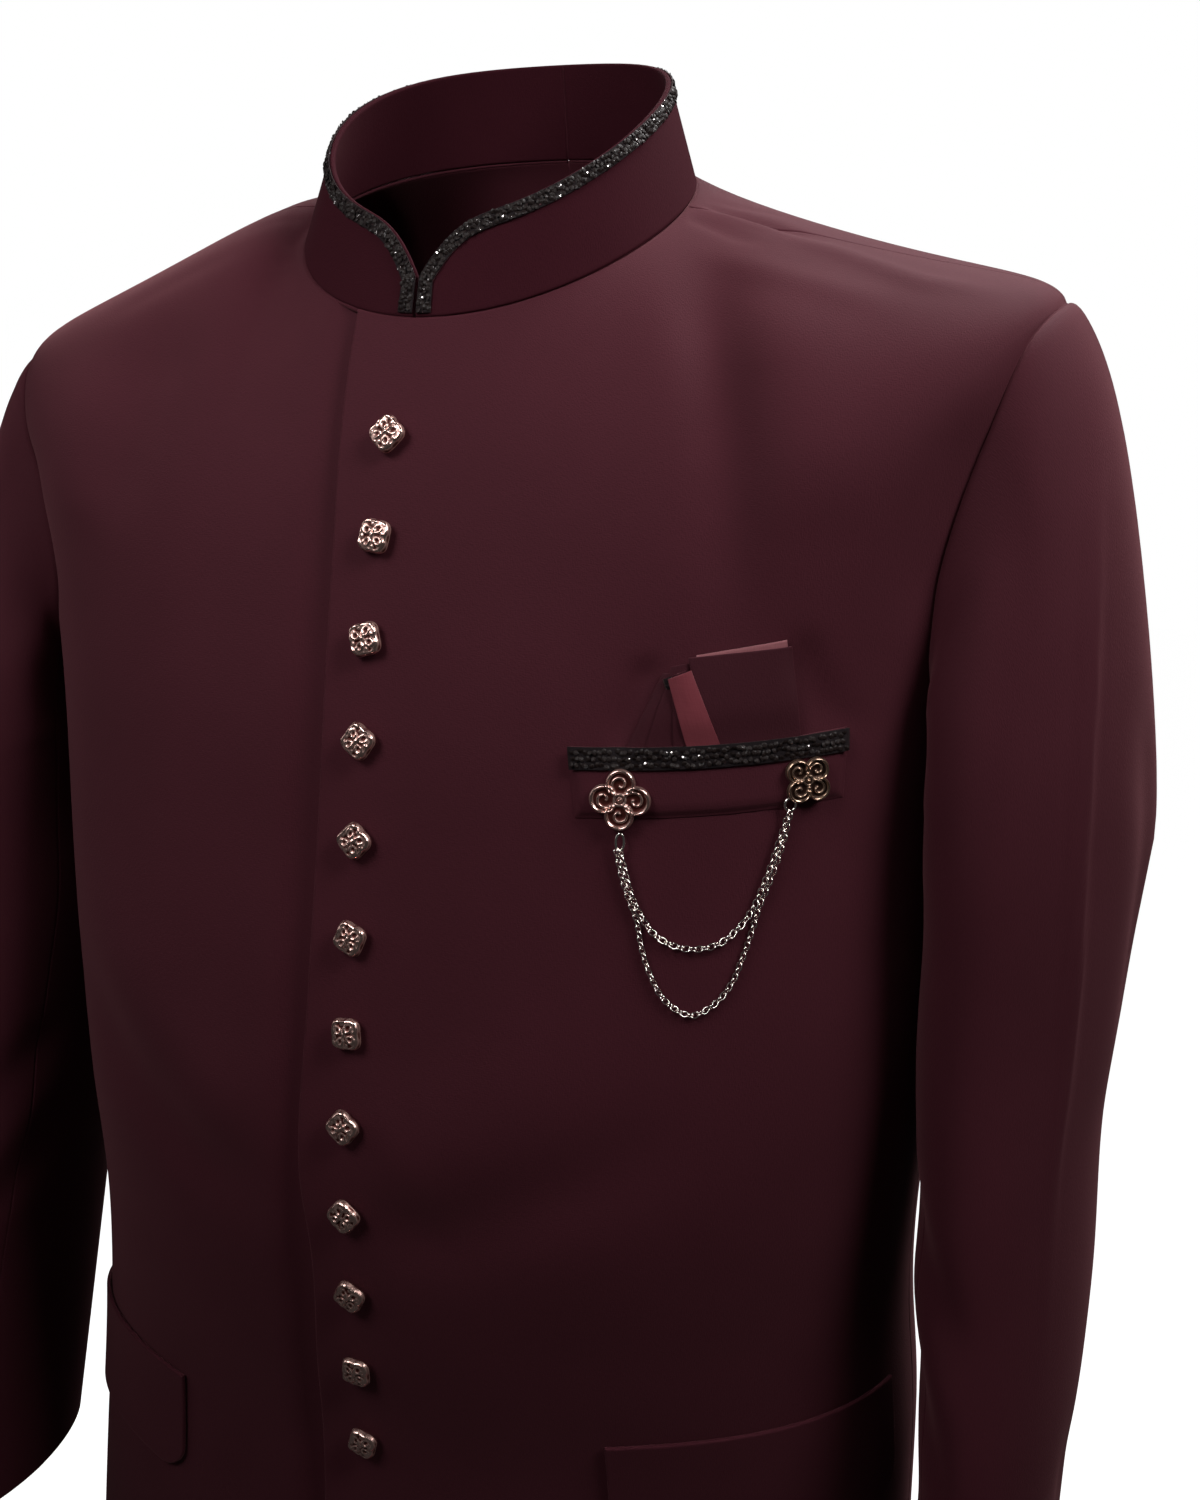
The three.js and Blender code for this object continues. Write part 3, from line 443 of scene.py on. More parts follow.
def grid_faces(rows, columns):
    """Faces between the points of a grid."""
    i, j = np.meshgrid(np.arange(rows - 1), np.arange(columns - 1), indexing="ij")
    first = (i * columns + j).ravel()
    return np.stack([first, first + 1, first + columns + 1, first + columns], axis=1)


def tube_faces(rings, around):
    """Faces between rings of points that close on themselves."""
    i, j = np.meshgrid(np.arange(rings - 1), np.arange(around), indexing="ij")
    here, after = (i * around + j).ravel(), (i * around + (j + 1) % around).ravel()
    return np.stack([here, after, after + around, here + around], axis=1)


def make_mesh(name, points, faces, uv=None, shade_flat=False):
    """A mesh object from points in millimetres and one or more arrays of faces."""
    kinds = faces if isinstance(faces, list) else [faces]
    corners = np.concatenate([kind.ravel() for kind in kinds])
    sides = np.concatenate([np.full(len(kind), kind.shape[1]) for kind in kinds])
    mesh = bpy.data.meshes.new(name)
    mesh.vertices.add(len(points))
    mesh.vertices.foreach_set("co", (np.asarray(points) * MM).astype(np.float32).ravel())
    mesh.loops.add(len(corners))
    mesh.loops.foreach_set("vertex_index", corners.astype(np.int32))
    mesh.polygons.add(len(sides))
    mesh.polygons.foreach_set("loop_start", (np.cumsum(sides) - sides).astype(np.int32))
    if uv is not None:
        layer = mesh.uv_layers.new(name="cloth")
        layer.data.foreach_set("uv", uv[corners].astype(np.float32).ravel())
    mesh.polygons.foreach_set("use_smooth", np.full(len(sides), not shade_flat))
    mesh.update(calc_edges=True)
    made = bpy.data.objects.new(name, mesh)
    bpy.context.scene.collection.objects.link(made)
    return made


def along_line(points, length, at):
    """Points at places along a line whose own points lie at these lengths."""
    return np.stack([np.interp(at, length, points[:, k]) for k in range(3)], axis=1)


def run_lengths(points, axis):
    """Length along the rows or columns of a grid of points, from its start."""
    steps = np.linalg.norm(np.diff(points, axis=axis), axis=-1)
    start = np.zeros_like(np.take(steps, [0], axis=axis))
    return np.concatenate([start, np.cumsum(steps, axis=axis)], axis=axis)


BORDER_STEP = 0.3
EDGE_ROUND = 0.75  # share of the half wall over which an edge rounds off
EDGE_LEFT = 0.3  # share of the half wall that is left at the very edge


def edge_distance(points, reach):
    """How far each point of a grid lies from the grid's border, up to a reach."""
    loop = np.concatenate([
        points[0], points[1:, -1], points[-1, -2::-1], points[-2:0:-1, 0], points[:1, 0],
    ])
    length = np.concatenate([[0], np.cumsum(np.linalg.norm(np.diff(loop, axis=0), axis=1))])
    border = along_line(loop, length, np.arange(0, length[-1], BORDER_STEP))
    tree = KDTree(len(border))
    for i, point in enumerate(border):
        tree.insert(point, i)
    tree.balance()
    found = [tree.find(point)[2] for point in points.reshape(-1, 3)]
    return np.minimum(np.array(found), reach).reshape(points.shape[:2])


def make_wall(name, outer, normals, wall):
    """A closed wall of cloth whose edges are rounded off."""
    half = np.broadcast_to(np.asarray(wall, float) / 2, outer.shape[:2])
    middle = outer - half[..., None] * normals
    share = np.clip(edge_distance(outer, half.max()) / (half * EDGE_ROUND), 0, 1)
    rounded = EDGE_LEFT + (1 - EDGE_LEFT) * np.sqrt(1 - (1 - share) ** 2)
    bulge = (half * rounded)[..., None] * normals
    rows, columns = outer.shape[:2]
    points = np.concatenate([(middle + bulge).reshape(-1, 3), (middle - bulge).reshape(-1, 3)])
    front = grid_faces(rows, columns)
    count = rows * columns
    border = np.concatenate([
        np.arange(columns), np.arange(2 * columns - 1, count, columns),
        np.arange(count - 2, count - columns - 1, -1), np.arange(count - 2 * columns, 0, -columns),
    ])
    after = np.roll(border, -1)
    rim = np.stack([after, border, border + count, after + count], axis=1)
    faces = np.concatenate([front, front[:, ::-1] + count, rim])
    a, b, c, d = (points[faces[:, k]] for k in range(4))
    volume = (a * np.cross(b, c)).sum() + (a * np.cross(c, d)).sum()
    if volume < 0:
        faces = faces[:, ::-1]
    uv = np.stack([run_lengths(outer, axis).ravel() for axis in (1, 0)], axis=1) * MM
    made = make_mesh(name, points, faces, np.concatenate([uv, uv]))
    lining = np.zeros(len(faces), np.int32)
    lining[len(front):2 * len(front)] = 1
    made.data.polygons.foreach_set("material_index", lining)
    return made


EDGE_STEPS = 0.06 + np.array([0, 0.14, 0.36, 0.7, 1.2, 2.0, 3.2])  # places of the rows next to an edge


def spaced(length, step):
    """Places along a length: close to each other at both ends, and about a step apart between."""
    inner = np.linspace(EDGE_STEPS[-1], length - EDGE_STEPS[-1], max(int(length / step), 3))[1:-1]
    return np.concatenate([EDGE_STEPS, inner, length - EDGE_STEPS[::-1]])


def respaced(rows, points, count):
    """Values along each row at the same shares of its length, closest at both ends."""
    lengths = run_lengths(points, 1)
    made = []
    for k in range(len(points)):
        total = lengths[k, -1]
        inner = np.linspace(EDGE_STEPS[-1], total - EDGE_STEPS[-1], count)[1:-1]
        at = np.concatenate([EDGE_STEPS, inner, total - EDGE_STEPS[::-1]])
        made.append([np.interp(at, lengths[k], row[k]) for row in rows])
    return [np.array([row[i] for row in made]) for i in range(len(rows))]


# Body: the rows of a panel run from the hem to the neck

BODY_STEP = 4.2
FRONT_COLUMNS = 66
BACK_COLUMNS = 56
PANEL_FINE = 181
LAP_FINE = 41
YOKE_REACH = 148.0


def side_angle(is_front, cut):
    """Angle of a panel's side edge, where the armhole cuts into it by some degrees."""
    turn = np.radians(cut)
    return math.pi / 2 + (-turn if is_front else BACK_CUT * turn)


def armhole_edge(is_front, index):
    """Angle and v of the armhole at places counted in rows of its table."""
    angle = side_angle(is_front, read_table(ARMHOLE, "cut", index))
    return angle, 1 + SHOULDER_AT * np.minimum(read_table(ARMHOLE, "up", index), 1)


FINE_INDEX = np.linspace(0, ARMHOLE_STEPS, 1041)
ARMHOLE_SHARE = {}
for in_front in (True, False):
    edge_length = run_lengths(body_point(1, *armhole_edge(in_front, FINE_INDEX))[None], 1)[0]
    ARMHOLE_SHARE[in_front] = edge_length / edge_length[-1]
ARMHOLE_ROWS = 74


def body_rows():
    """Centre v, side v and armhole cut of each row."""
    low = spaced(CHEST_Z - HEM_Z, BODY_STEP)[:-len(EDGE_STEPS)] / (CHEST_Z - HEM_Z)
    index = np.interp(np.linspace(0, 1, ARMHOLE_ROWS + 1), ARMHOLE_SHARE[True], FINE_INDEX)
    up = np.minimum(read_table(ARMHOLE, "up", index), 1)
    high = spaced(YOKE_REACH, BODY_STEP)[len(EDGE_STEPS):] / YOKE_REACH
    above = 1 + ARMHOLE_TOP + (1 - ARMHOLE_TOP) * high
    centre = np.concatenate([low, 1 + ARMHOLE_TOP * index / ARMHOLE_STEPS, above])
    side = np.concatenate([low, 1 + SHOULDER_AT * up, 1 + SHOULDER_AT + (1 - SHOULDER_AT) * high])
    cut = np.concatenate([0 * low, read_table(ARMHOLE, "cut", index), 0 * high])
    return centre, side, cut


def panel_places(side, is_front):
    """Angle and v of a panel's grid, an even distance apart along each row."""
    centre, side_v, cut = (row[:, None] for row in body_rows())
    end = side_angle(is_front, cut)
    share = np.linspace(0, 1, PANEL_FINE)[None]
    start = angle_at(SINK["from_x"], centre) if is_front else np.full(centre.shape, math.pi)
    angle = start + (end - start) * share
    v = centre + (side_v - centre) * share
    if is_front:
        middle = body_point(1, 0 * centre, centre)[..., 2]
        lap = read_table(OVERLAP, "x", middle) if side > 0 else np.full(centre.shape, float(UNDERLAP))
        x = -lap + (SINK["from_x"] + lap) * np.linspace(0, 1, LAP_FINE)[None, :-1]
        angle = np.concatenate([angle_at(x, centre), angle], axis=1)
        v = np.concatenate([centre + 0 * x, v], axis=1)
    points = body_point(1, angle, v)
    return respaced([angle, v], points, FRONT_COLUMNS if is_front else BACK_COLUMNS)


def body_surface(side, angle, v):
    """Outer points and normals of the body, folds and all."""
    points = body_point(side, angle, v)
    normals = body_normal(side, angle, v)
    return points + body_relief(points)[..., None] * normals, normals


def body_panel(name, side, is_front):
    """A front or back: the left front's edge stands up a little and the right front dips under it."""
    angle, v = panel_places(side, is_front)
    points, normals = body_surface(side, angle, v)
    if is_front and side > 0:
        from_edge = points[..., :1] + read_table(OVERLAP, "x", points[..., 2:])
        puff = OVERLAP_PUFF["height"] * np.exp(-((from_edge / OVERLAP_PUFF["wide"]) ** 2))
        points = points + puff * normals
    if is_front and side < 0:
        away = np.abs(np.minimum(points[..., :1], 0))
        under = smooth_step((SINK["from_x"] - away) / (SINK["from_x"] - SINK["to_x"]))
        points = points - (CLOTH + LAY_GAP + SINK["extra"]) * under * normals
    return make_wall(name, points, normals, CLOTH)


# Sleeves: the turn runs round the arm from its inner line, w from the armhole (0) by the upper arm
# (1) to the cuff (2)

# Folds of the sleeves, as height and degrees of the turn. The crease down the outer side is a narrow
# ridge on a broad one, along the same path
SLEEVE_CREASE = (
    (-88, 165), (-127, 154), (-166, 148), (-207, 145), (-248, 144),
    (-294, 148), (-344, 149), (-391, 147), (-480, 142),
)
ARM_FOLDS = (
    {"out": 2.3, "wide": 2.8, "path": SLEEVE_CREASE},
    {"out": 1.8, "wide": 10, "path": SLEEVE_CREASE},
    {"out": 5.5, "wide": 17, "path": ((-150, 66), (-188, 62), (-214, 57), (-240, 52), (-300, 45))},
    {"out": -2.0, "wide": 11, "path": ((-100, 122), (-142, 118), (-190, 108), (-240, 94), (-300, 88))},
    {"out": -2.2, "wide": 12, "path": ((-380, 20), (-400, 50), (-424, 80), (-450, 104))},
    {"out": 1.6, "wide": 11, "path": ((-410, 16), (-432, 46), (-456, 76), (-476, 98))},
    {"out": -2.0, "wide": 12, "path": ((-446, 20), (-466, 48), (-488, 72), (-516, 90))},
    {"out": -2.7, "wide": 12, "path": ((-180, 180), (-240, 196), (-300, 204), (-370, 206))},
    {"out": -3.0, "wide": 11, "path": ((-190, 300), (-236, 286), (-290, 280), (-350, 280))},
    {"out": -3.3, "wide": 10, "path": ((-380, 320), (-402, 296), (-424, 268), (-446, 236))},
    {"out": -2.4, "wide": 12, "path": ((-470, 180), (-520, 186), (-570, 190), (-620, 190))},
)
SLEEVE_START = 0.1  # millimetres that the sleeve's first ring stands off the armhole


def armhole_place(turn):
    """Angle and v of the armhole at a turn of the sleeve."""
    turn = np.mod(turn, 2 * math.pi)
    in_front = turn <= math.pi
    share = np.where(in_front, turn, 2 * math.pi - turn) / math.pi
    edges = [
        armhole_edge(front, np.interp(share, ARMHOLE_SHARE[front], FINE_INDEX)) for front in (True, False)
    ]
    return [np.where(in_front, *pair) for pair in zip(*edges)]


def armhole_start(turn):
    """Start of the sleeve at a turn, and the way it leaves the seam."""
    point = body_point(1, *armhole_place(turn))
    rise = (1 - np.cos(turn)) / 2
    fall = CAP_WAY["under_fall"] * (1 - rise) + CAP_WAY["top_fall"] * rise
    swing = CAP_WAY["swing"] + CAP_WAY["low_swing"] * (1 - rise)
    out = CAP_WAY["out"] - CAP_WAY["low_swing"] * (1 - rise) * np.abs(np.sin(turn))
    way = unit(xyz(out, -swing * np.sin(turn), -fall))
    return point + way * SLEEVE_START, way, rise


def sleeve_section(turn, z):
    """Round the arm at a height below the upper arm."""
    twist = np.radians(read_table(SLEEVE_SECTIONS, "turn", z))
    x = -read_table(SLEEVE_SECTIONS, "across", z) * np.cos(turn)
    y = -read_table(SLEEVE_SECTIONS, "along", z) * np.sin(turn)
    return xyz(
        read_table(SLEEVE_SECTIONS, "x", z) + x * np.cos(twist) + y * np.sin(twist),
        read_table(SLEEVE_SECTIONS, "y", z) - x * np.sin(twist) + y * np.cos(twist),
        z,
    )


def sleeve_point(turn, w):
    """A sleeve's smooth surface, before its folds."""
    turn, w = np.broadcast_arrays(np.asarray(turn, float), np.asarray(w, float))
    start, way, rise = armhole_start(turn)
    end = sleeve_section(turn, np.full(turn.shape, float(BICEP_Z)))
    out = way * (CAP_OUT["under"] + (CAP_OUT["top"] - CAP_OUT["under"]) * rise)[..., None]
    down = xyz(0, 0, -(CAP_DOWN["under"] + (CAP_DOWN["top"] - CAP_DOWN["under"]) * rise))
    cap = hermite(np.clip(w, 0, 1)[..., None], start, end, out, down)
    arm = sleeve_section(turn, BICEP_Z + (CUFF_Z - BICEP_Z) * np.clip(w - 1, 0, 1))
    return np.where((w <= 1)[..., None], cap, arm)


def seam_turn(is_front):
    """Turn of the seam between the two pieces of a sleeve."""
    share = np.interp(SLEEVE_SEAMS["front" if is_front else "back"], FINE_INDEX, ARMHOLE_SHARE[is_front])
    return math.pi * share if is_front else 2 * math.pi - math.pi * share


CAP_ROWS = 44
CAP_LENGTH = 100.0
SLEEVE_FINE = 241
FIRST_W = 0.002  # the least w at which a direction is read
ROUND_STEP = 0.8  # millimetres of a fold's path to a degree of the turn
FOLDS_FROM = 0.3  # w where the folds have reached their full height
CAP_EASE = 0.35  # w where the sleeve has left the armhole's own folds
SLEEVE_PUFF = {"height": 1.2, "at": 0.035}
RIGHT_ARM_SHIFT = (-14, 5)  # how far the folds of the right arm lie from the left one's, in mm and degrees


def sleeve_surface(side, turn, w):
    """Outer points and normals of a sleeve, folds and all."""
    turn, w = np.broadcast_arrays(np.asarray(turn, float), np.asarray(w, float))
    points = sleeve_point(turn, w)
    normals = surface_normal(sleeve_point, turn, np.clip(w, FIRST_W, NORMAL_V), -1)
    down, round_by = (0, 0) if side > 0 else RIGHT_ARM_SHIFT
    folds = [
        dict(fold, path=tuple((z + down, ROUND_STEP * (degrees + round_by)) for z, degrees in fold["path"]))
        for fold in ARM_FOLDS
    ]
    flat = np.stack([points[..., 2], ROUND_STEP * np.degrees(np.mod(turn, 2 * math.pi))], axis=-1)
    near_seam = w / SLEEVE_PUFF["at"]
    height = fold_height(flat, folds) * smooth_step(w / FOLDS_FROM)
    height = height + SLEEVE_PUFF["height"] * near_seam * np.exp(1 - near_seam)
    outer = to_side(side, points + height[..., None] * normals)
    normals = unit(outer - to_side(side, points + (height[..., None] - 1) * normals))
    armhole = body_surface(side, *armhole_place(turn))[0]
    moved = armhole - to_side(side, sleeve_point(turn, 0 * w))
    return outer + moved * (1 - smooth_step(w / CAP_EASE))[..., None], normals


def sleeve_piece(name, side, from_turn, to_turn, columns):
    cap = spaced(CAP_LENGTH, CAP_LENGTH / CAP_ROWS)[:-len(EDGE_STEPS)] / CAP_LENGTH
    arm = spaced(BICEP_Z - CUFF_Z, BODY_STEP)[len(EDGE_STEPS):] / (BICEP_Z - CUFF_Z)
    w = np.concatenate([cap, [1.0], 1 + arm])[:, None]
    fine = np.linspace(from_turn, to_turn, SLEEVE_FINE)[None] + 0 * w
    (turn,) = respaced([fine], sleeve_point(fine, w), columns)
    return make_wall(name, *sleeve_surface(side, turn, w), CLOTH)


# Collar

COLLAR_ROWS = {"length": 44.0, "step": 2.6}
COLLAR_COLUMNS = 92
COLLAR_FINE = 801


def collar_height(angle):
    """Share of the full height that the collar has at an angle: the V is cut out of its front."""
    away = np.minimum(np.abs(angle) / COLLAR_ROUND, 1)
    return COLLAR_NOTCH + (1 - COLLAR_NOTCH) * (1 - (1 - away) ** COLLAR_ROUND_POWER)


def collar_point(angle, h):
    angle, h = np.broadcast_arrays(np.asarray(angle, float), np.asarray(h, float))
    seam = neck_ring(NECK, angle)
    seam[..., 2] += SEAM_GAP
    return seam + (neck_ring(COLLAR_TOP, angle) - seam) * h[..., None]


def collar_normal(angle, h):
    return surface_normal(collar_point, angle, h, 1)


def collar_half(name, side):
    fine = np.linspace(0, 1, COLLAR_FINE) ** 2 * (COLLAR_BACK - COLLAR_END) + COLLAR_END
    top = collar_point(fine, collar_height(fine))
    (angle,) = respaced([fine[None]], top[None], COLLAR_COLUMNS)
    rows = spaced(**COLLAR_ROWS) / COLLAR_ROWS["length"]
    angle = np.repeat(angle, len(rows), axis=0)
    share = (rows - rows[0]) / (rows[-1] - rows[0])
    h = share[:, None] * collar_height(angle)
    points = collar_point(side * angle, h)
    return make_wall(name, points, collar_normal(side * angle, h), COLLAR_WALL)


def collar_edge(t):
    """Edge of the collar from the seam up the V and round to the centre back, as angle and height."""
    along = np.clip((t - TRIM_CORNER) / (1 - TRIM_CORNER), 0, 1)
    angle = COLLAR_END + (COLLAR_BACK - COLLAR_END) * along ** TRIM_EASE
    low = t < TRIM_CORNER
    height = np.where(low, COLLAR_NOTCH * t / TRIM_CORNER, collar_height(angle))
    return np.where(low, COLLAR_END, angle), height


def collar_inset(t, distance):
    """The same edge moved into the collar by a distance."""
    step = 0.004
    angle, h = collar_edge(t)
    before = collar_edge(np.maximum(t - step, 0))
    after = collar_edge(np.minimum(t + step, 1))
    radius = NECK["half_width"]
    height = np.linalg.norm(collar_point(angle, 1) - collar_point(angle, 0), axis=-1)
    along = unit(np.stack([(after[0] - before[0]) * radius, (after[1] - before[1]) * height], axis=-1))
    moved = np.minimum(angle + along[..., 1] * distance / radius, COLLAR_BACK)
    return moved, np.maximum(h - along[..., 0] * distance / height, 0.01)


def front_places(x, z):
    """Points and normals of the dressed left front at given x and z."""
    return body_surface(1, *locate(x, z))


def lay_band(name, points, normals, lift, wall):
    """A wall that lies on a surface, with its underside a height above it."""
    height = np.broadcast_to(lift + wall, points.shape[:2])
    return make_wall(name, points + height[..., None] * normals, normals, wall)


def collar_trim_places(side, distance, t):
    """Points and normals of the collar at a distance inside its free edges."""
    angle, h = collar_inset(*np.broadcast_arrays(t, distance))
    return collar_point(side * angle, h), collar_normal(side * angle, h)


def welt_top(share):
    """Height of the pocket's edge, which slants and sags a little."""
    rise = WELT["from_z"] + (WELT["to_z"] - WELT["from_z"]) * share
    return rise - WELT["sag"] * np.sin(math.pi * share)


def welt_places(depth, share):
    """Points and normals of the chest behind the welt, at a depth below its top edge."""
    from_x = WELT["from_x"] + WELT["slant"] * depth / WELT["height"]
    return front_places(from_x + (WELT["to_x"] - from_x) * share, welt_top(share) - depth)


def even_grid(width, height, step):
    """Shares along and across a small flat piece, closest at its edges."""
    along, across = spaced(width, step), spaced(height, step)
    return np.meshgrid(across - EDGE_STEPS[0], along, indexing="ij")


WELT_SEWN = {"over": 3.5, "down": 0.45, "wall": 0.5}  # how the welt thins and sinks at its sewn edges
FLAT_STEP = 3


def pocket_welt(name):
    """The welt: it lies proud of the chest and thins to its sewn edges."""
    depth, along = even_grid(WELT_LENGTH, WELT["height"], FLAT_STEP)
    share = (along - EDGE_STEPS[0]) / (WELT_LENGTH - 2 * EDGE_STEPS[0])
    points, normals = welt_places(WELT["height"] - depth, share)
    near_edge = np.minimum(depth, np.minimum(share, 1 - share) * WELT_LENGTH)
    proud = smooth_step(near_edge / WELT_SEWN["over"])
    lift = LAY_GAP - WELT_SEWN["down"] * (1 - proud)
    return lay_band(name, points, normals, lift, WELT_SEWN["wall"] + (WELT_WALL - WELT_SEWN["wall"]) * proud)


def hip_flap(name, side):
    """A pocket flap with round lower corners, laid on the front along a slightly arched line."""
    z = FLAP_Z["left" if side > 0 else "right"]
    start = locate(np.array(float(FLAP["from_x"])), np.array(float(z["front"])))[0]
    section = body_section(np.array(math.pi / 3), np.array(float(z["front"])))
    reach = FLAP["width"] / np.hypot(section[0], section[1])
    height, width = even_grid(FLAP["width"], FLAP["height"], FLAT_STEP)
    share = (width - EDGE_STEPS[0]) / (FLAP["width"] - 2 * EDGE_STEPS[0])
    row = height / height.max()
    end = np.minimum(share, 1 - share) * FLAP["width"]
    corner = FLAP["corner"]
    rounding = corner - np.sqrt(corner ** 2 - np.maximum(corner - end, 0) ** 2)
    top = z["front"] + (z["back"] - z["front"]) * share + FLAP_ARCH * np.sin(math.pi * share)
    v = (top - (1 - row) * (FLAP["height"] - rounding) - HEM_Z) / (CHEST_Z - HEM_Z)
    angle = start + reach * share
    points, normals = body_surface(side, angle, v)
    return lay_band(name, points, normals, FLAP["lift"], FLAP["wall"])


# Seams: the turned-in edges of two pieces show as a low roll at the bottom of the groove between them

SEAM_ROLL = {"radius": 0.85, "depth": 1.15}
ARMHOLE_ROLL = {"radius": 1.15, "depth": 1.0}
ROLL_STEP = 3.0
ROLL_SIDES = 8
ROLL_END = 0.4
ROLL_STRIP = 0.9  # width of cloth to a side of the roll, for the weave
SEAM_FINE = {"armhole": 401, "long": 301, "shoulder": 121, "neck": 241}
OFF_SEAM = 0.01  # where a sleeve or the collar has just left its seam


def seam_tube(points, normals, radius, depth):
    """Points, faces and cloth places of a closed tube just below the surface."""
    length = run_lengths(points[None], 1)[0]
    at = np.linspace(ROLL_END, length[-1] - ROLL_END, int(length[-1] / ROLL_STEP))
    points, normals = (along_line(rows, length, at) for rows in (points, normals))
    along = unit(np.gradient(points, axis=0))
    across = unit(np.cross(normals, along))
    turn = np.linspace(0, 2 * math.pi, ROLL_SIDES, endpoint=False)[None, :, None]
    middle = points - depth * unit(normals)
    up = np.cross(along, across)
    ring = radius * (np.cos(turn) * across[:, None] + np.sin(turn) * up[:, None])
    walls = tube_faces(len(at), ROLL_SIDES)
    around = np.arange(ROLL_SIDES)
    ends = np.stack([around[::-1], around + (len(at) - 1) * ROLL_SIDES])
    places = np.stack(np.broadcast_arrays(at[:, None], around[None] * ROLL_STRIP), axis=-1) * MM
    return (middle[:, None] + ring).reshape(-1, 3), walls, ends, places.reshape(-1, 2)


def seam_lines():
    """Points and normals along every seam, and the size of its roll."""
    turn = np.linspace(0, 2 * math.pi, SEAM_FINE["armhole"])
    low = np.linspace(0, 1, SEAM_FINE["long"])
    high = np.linspace(1 + SHOULDER_AT, NECK_V, SEAM_FINE["shoulder"])
    half = math.pi / 2
    for side in (1, -1):
        points, normals = body_surface(side, *armhole_place(turn))
        yield points, unit(normals + sleeve_surface(side, turn, OFF_SEAM + 0 * turn)[1]), ARMHOLE_ROLL
        yield *body_surface(side, half + 0 * low, low), SEAM_ROLL
        yield *body_surface(side, half + 0 * high, high), SEAM_ROLL
        for front in (True, False):
            yield *sleeve_surface(side, seam_turn(front), 2 * low), SEAM_ROLL
        ring = np.linspace(0.0, math.pi, SEAM_FINE["neck"])
        points, normals = body_surface(side, ring, NECK_V + 0 * ring)
        yield points, unit(normals + collar_normal(side * ring, OFF_SEAM + 0 * ring)), SEAM_ROLL
    yield *body_surface(1, math.pi + 0 * low, NECK_V * low), SEAM_ROLL
    yield collar_point(math.pi + 0 * low, low), collar_normal(math.pi + 0 * low, low), SEAM_ROLL


def seam_rolls():
    """The rolls of all the seams as one piece."""
    points, walls, ends, places = [], [], [], []
    count = 0
    for line, normals, size in seam_lines():
        tube = seam_tube(line, normals, **size)
        points.append(tube[0])
        walls.append(tube[1] + count)
        ends.append(tube[2] + count)
        places.append(tube[3])
        count += len(tube[0])
    faces = [np.concatenate(walls), np.concatenate(ends)]
    return make_mesh("seam_rolls", np.concatenate(points), faces, np.concatenate(places))


# Pocket square, from the back: the back fold with its pale edge, which is a painted highlight, two folded
# leaves, the front fold, a near-black sheet painted as the shade in the dark hollow at a fold's end, a
# narrow strip and the satin strip, whose light colour is a painted highlight. Corners are x and z on the
# chest

SQUARE_LAYERS = (
    # Painted highlight: the pale satin of this back fold's edge stands in for the light it catches
    {"lift": 0.3, "wall": 1.5, "finish": "pale",
     "corners": ((124.0, -214), (159.0, -208), (153.4, -172.9), (123.6, -179.6))},
    {"lift": 0.3, "wall": 1.1,
     "corners": ((101.5, -214), (124.5, -214), (120.5, -186.0), (112.4, -186.6))},
    {"lift": 1.5, "wall": 0.6,
     "corners": ((108.0, -214), (126.5, -214), (121.4, -182.4), (115.4, -184.0))},
    {"lift": 2.1, "wall": 1.1,
     "corners": ((130.0, -214), (159.6, -208.3), (155.0, -174.9), (121.0, -180.5))},
    # Painted shade: a near-black sheet laid in the hollow at a fold's end, where there is only shadow
    {"lift": 2.2, "wall": 0.3, "finish": "dark",
     "corners": ((114.4, -193.5), (117.0, -194.5), (115.8, -187.4), (112.6, -188.6))},
    {"lift": 2.3, "wall": 0.5,
     "corners": ((118.0, -214), (129.5, -214), (120.4, -185.0), (116.0, -187.0))},
    # Painted highlight: the satin strip's lighter colour stands in for the light it catches
    {"lift": 2.9, "wall": 0.8, "finish": "satin",
     "corners": ((123.0, -214), (135.0, -214), (122.4, -184.8), (114.6, -188.4))},
)
SQUARE_STEP = 2.4
SQUARE_BOW = {"plain": 0.5, "satin": 0.9, "pale": 0.5, "dark": 0.5}
MOUTH_PRESS = 0.52  # share of their height that the folds keep where they enter the pocket
MOUTH_EASE = 0.45  # share of a fold's length over which it rises to its full height


def square_layer(finishes, corners, lift, wall, finish="plain"):
    """One flat fold between four corners, bowed a little and pressed where it enters the pocket."""
    low_left, low_right, high_right, high_left = np.array(corners, float)
    width = np.linalg.norm(low_right - low_left)
    height = np.linalg.norm(high_left - low_left)
    up, along = even_grid(width, height, SQUARE_STEP)
    s = ((along - along.min()) / np.ptp(along))[..., None]
    t = (up / up.max())[..., None]
    flat = (low_left * (1 - s) + low_right * s) * (1 - t) + (high_left * (1 - s) + high_right * s) * t
    points, normals = front_places(flat[..., 0], flat[..., 1])
    bow = SQUARE_BOW[finish] * np.sin(math.pi * s) * t
    press = MOUTH_PRESS + (1 - MOUTH_PRESS) * smooth_step(t[..., 0] / MOUTH_EASE)
    made = lay_band("fold", points + bow * press[..., None] * normals, normals, lift * press, wall * press)
    finish_with(made, finishes[finish], finishes[finish])
    return made


def finish_with(piece, *materials):
    """Puts the materials on a piece, in the order of its faces' material numbers."""
    piece.data.materials.clear()
    for material in materials:
        piece.data.materials.append(material)
    return piece


def joined(name, pieces):
    """Several meshes as one piece."""
    first = pieces[0]
    if len(pieces) > 1:
        with bpy.context.temp_override(active_object=first, selected_editable_objects=list(pieces)):
            bpy.ops.object.join()
    first.name = first.data.name = name
    return first


# Hard pieces: discs with a relief on top, round about a centre


RELIEF_EASE = 0.8  # millimetres past the widest ring over which the relief rises
WORN = {"side": 0.6, "pole": 0.5}  # how rubbed the sides and the very middles are


